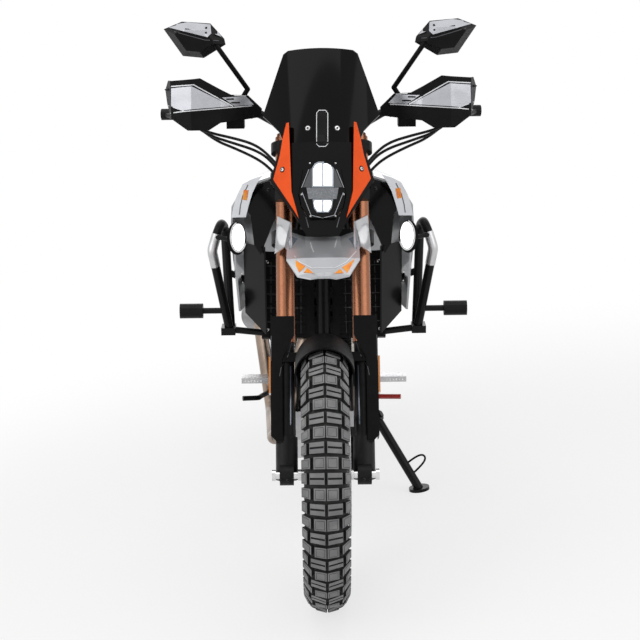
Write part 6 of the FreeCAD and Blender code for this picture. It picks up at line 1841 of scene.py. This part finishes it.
@dataclass
class NumberPlate:
    """The blank number plate with a thin border."""

    half: float = 71.0
    low: float = 602.0
    high: float = 732.0
    corner: Place = (4.0, 4.0)
    thick: float = 2.4
    border_inset: float = 3.0
    border_corner: Place = (4.0, 3.0)
    border_wide: float = 2.0
    border_thick: float = 3.2
    step: float = 20.0

    def build(self, bench: Bench) -> None:
        """Lay the plate and its border.

        Args:
            bench: Where the piece is finished.
        """
        inset = self.border_inset
        inner = chamfered(self.half - inset, self.low + inset, self.high - inset, self.border_corner)
        outer = chamfered(self.half, self.low, self.high, self.corner)
        plate = Plate(outer, Finishes.PLATE, thick=self.thick, step=self.step)
        border = Line(
            inner, self.border_wide, Finishes.DARK_GREY, thick=self.border_thick, closed=True, step=self.step
        )
        Overlay("number_plate", ("rear_fender",), Body.CHASSIS, "silver_paint", (plate, border), twin=False,
                view=View.REAR).build(bench)


@dataclass
class Grips:
    """The ribs round each grip, as they show from behind."""

    ribs: tuple[float, ...] = tuple(272.0 + 7.0 * n for n in range(16))
    low: float = 1161.0
    high: float = 1182.0
    wide: float = 3.0
    thick: float = 1.4
    step: float = 4.0

    def build(self, bench: Bench) -> None:
        """Raise the ribs.

        Args:
            bench: Where the piece is finished.
        """
        forms = tuple(
            Line(((x, self.low), (x, self.high)), self.wide, Finishes.GRIP, thick=self.thick, step=self.step)
            for x in self.ribs
        )
        Overlay("grip_ribs", ("grips",), Body.STEERING, "grip_rubber", forms, view=View.REAR).build(bench)


class Assembly(Protocol):
    """A part of the machine that is built on the bench."""

    def build(self, bench: Bench) -> bpy.types.Object | None:
        """Make its pieces.

        Args:
            bench: Where the pieces are finished.

        Returns:
            The piece, where there is just one.
        """


def assemblies() -> list[Assembly]:
    """The machine's sub-assemblies, in the order of their making.

    Returns:
        Objects that each have a build method.
    """
    return [
        Tyre("front_tyre_look", "front_tyre", Body.FRONT_WHEEL, FRONT_AXLE,
             radius=332.0, width=116.0, seat=241.3, bead=32.7, rows=58),
        Tyre("rear_tyre_look", "rear_tyre", Body.REAR_WHEEL, REAR_AXLE,
             radius=328.0, width=142.0, seat=215.9, bead=46.7, rows=56),
        BrakeDisc("front_disc_holes", "front_disc", Body.FRONT_WHEEL, View.LEFT, FRONT_AXLE,
                  reach=141.0, count=26),
        BrakeDisc("rear_disc_holes", "rear_disc", Body.REAR_WHEEL, View.RIGHT, REAR_AXLE,
                  reach=112.0, count=22),
        Handguards(),
        Mirrors(),
        ControlCables(),
        Grips(),
        Headlight(),
        Screen(),
        CowlTrims(),
        Beak(),
        Fork(),
        Tank(),
        FogLamps(),
        Radiators(),
        CrashBars(),
        EngineCovers(),
        FootPegs(),
        Seat(),
        SideStand(),
        NumberPlate(),
    ]


def dress_frame(record: dict, nodes: dict[str, bpy.types.Object]) -> None:
    """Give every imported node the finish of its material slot, or its own.

    Args:
        record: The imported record.
        nodes: The frame's objects by node name.
    """
    for entry in record["subparts"]:
        finish = NODE_FINISH.get(entry["node"]) or SLOT_FINISH[entry["material_slot"]]
        node = nodes[entry["node"]]
        node.data.materials.clear()
        node.data.materials.append(finish.material())


def main() -> None:
    """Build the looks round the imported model."""
    logging.basicConfig(level=logging.INFO)
    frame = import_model()
    stance = Stance()
    stance.read(frame["joints"])
    dress_frame(frame["record"], frame["nodes"])
    studio = Studio()
    studio.build(stance)
    sight = Sight(studio.lens, studio.sensor, studio.camera_matrix(stance))
    bench = Bench(stance, sight, frame["nodes"])
    for assembly in assemblies():
        assembly.build(bench)
    LOG.info("all pieces are made")


if __name__ == "__main__":
    main()
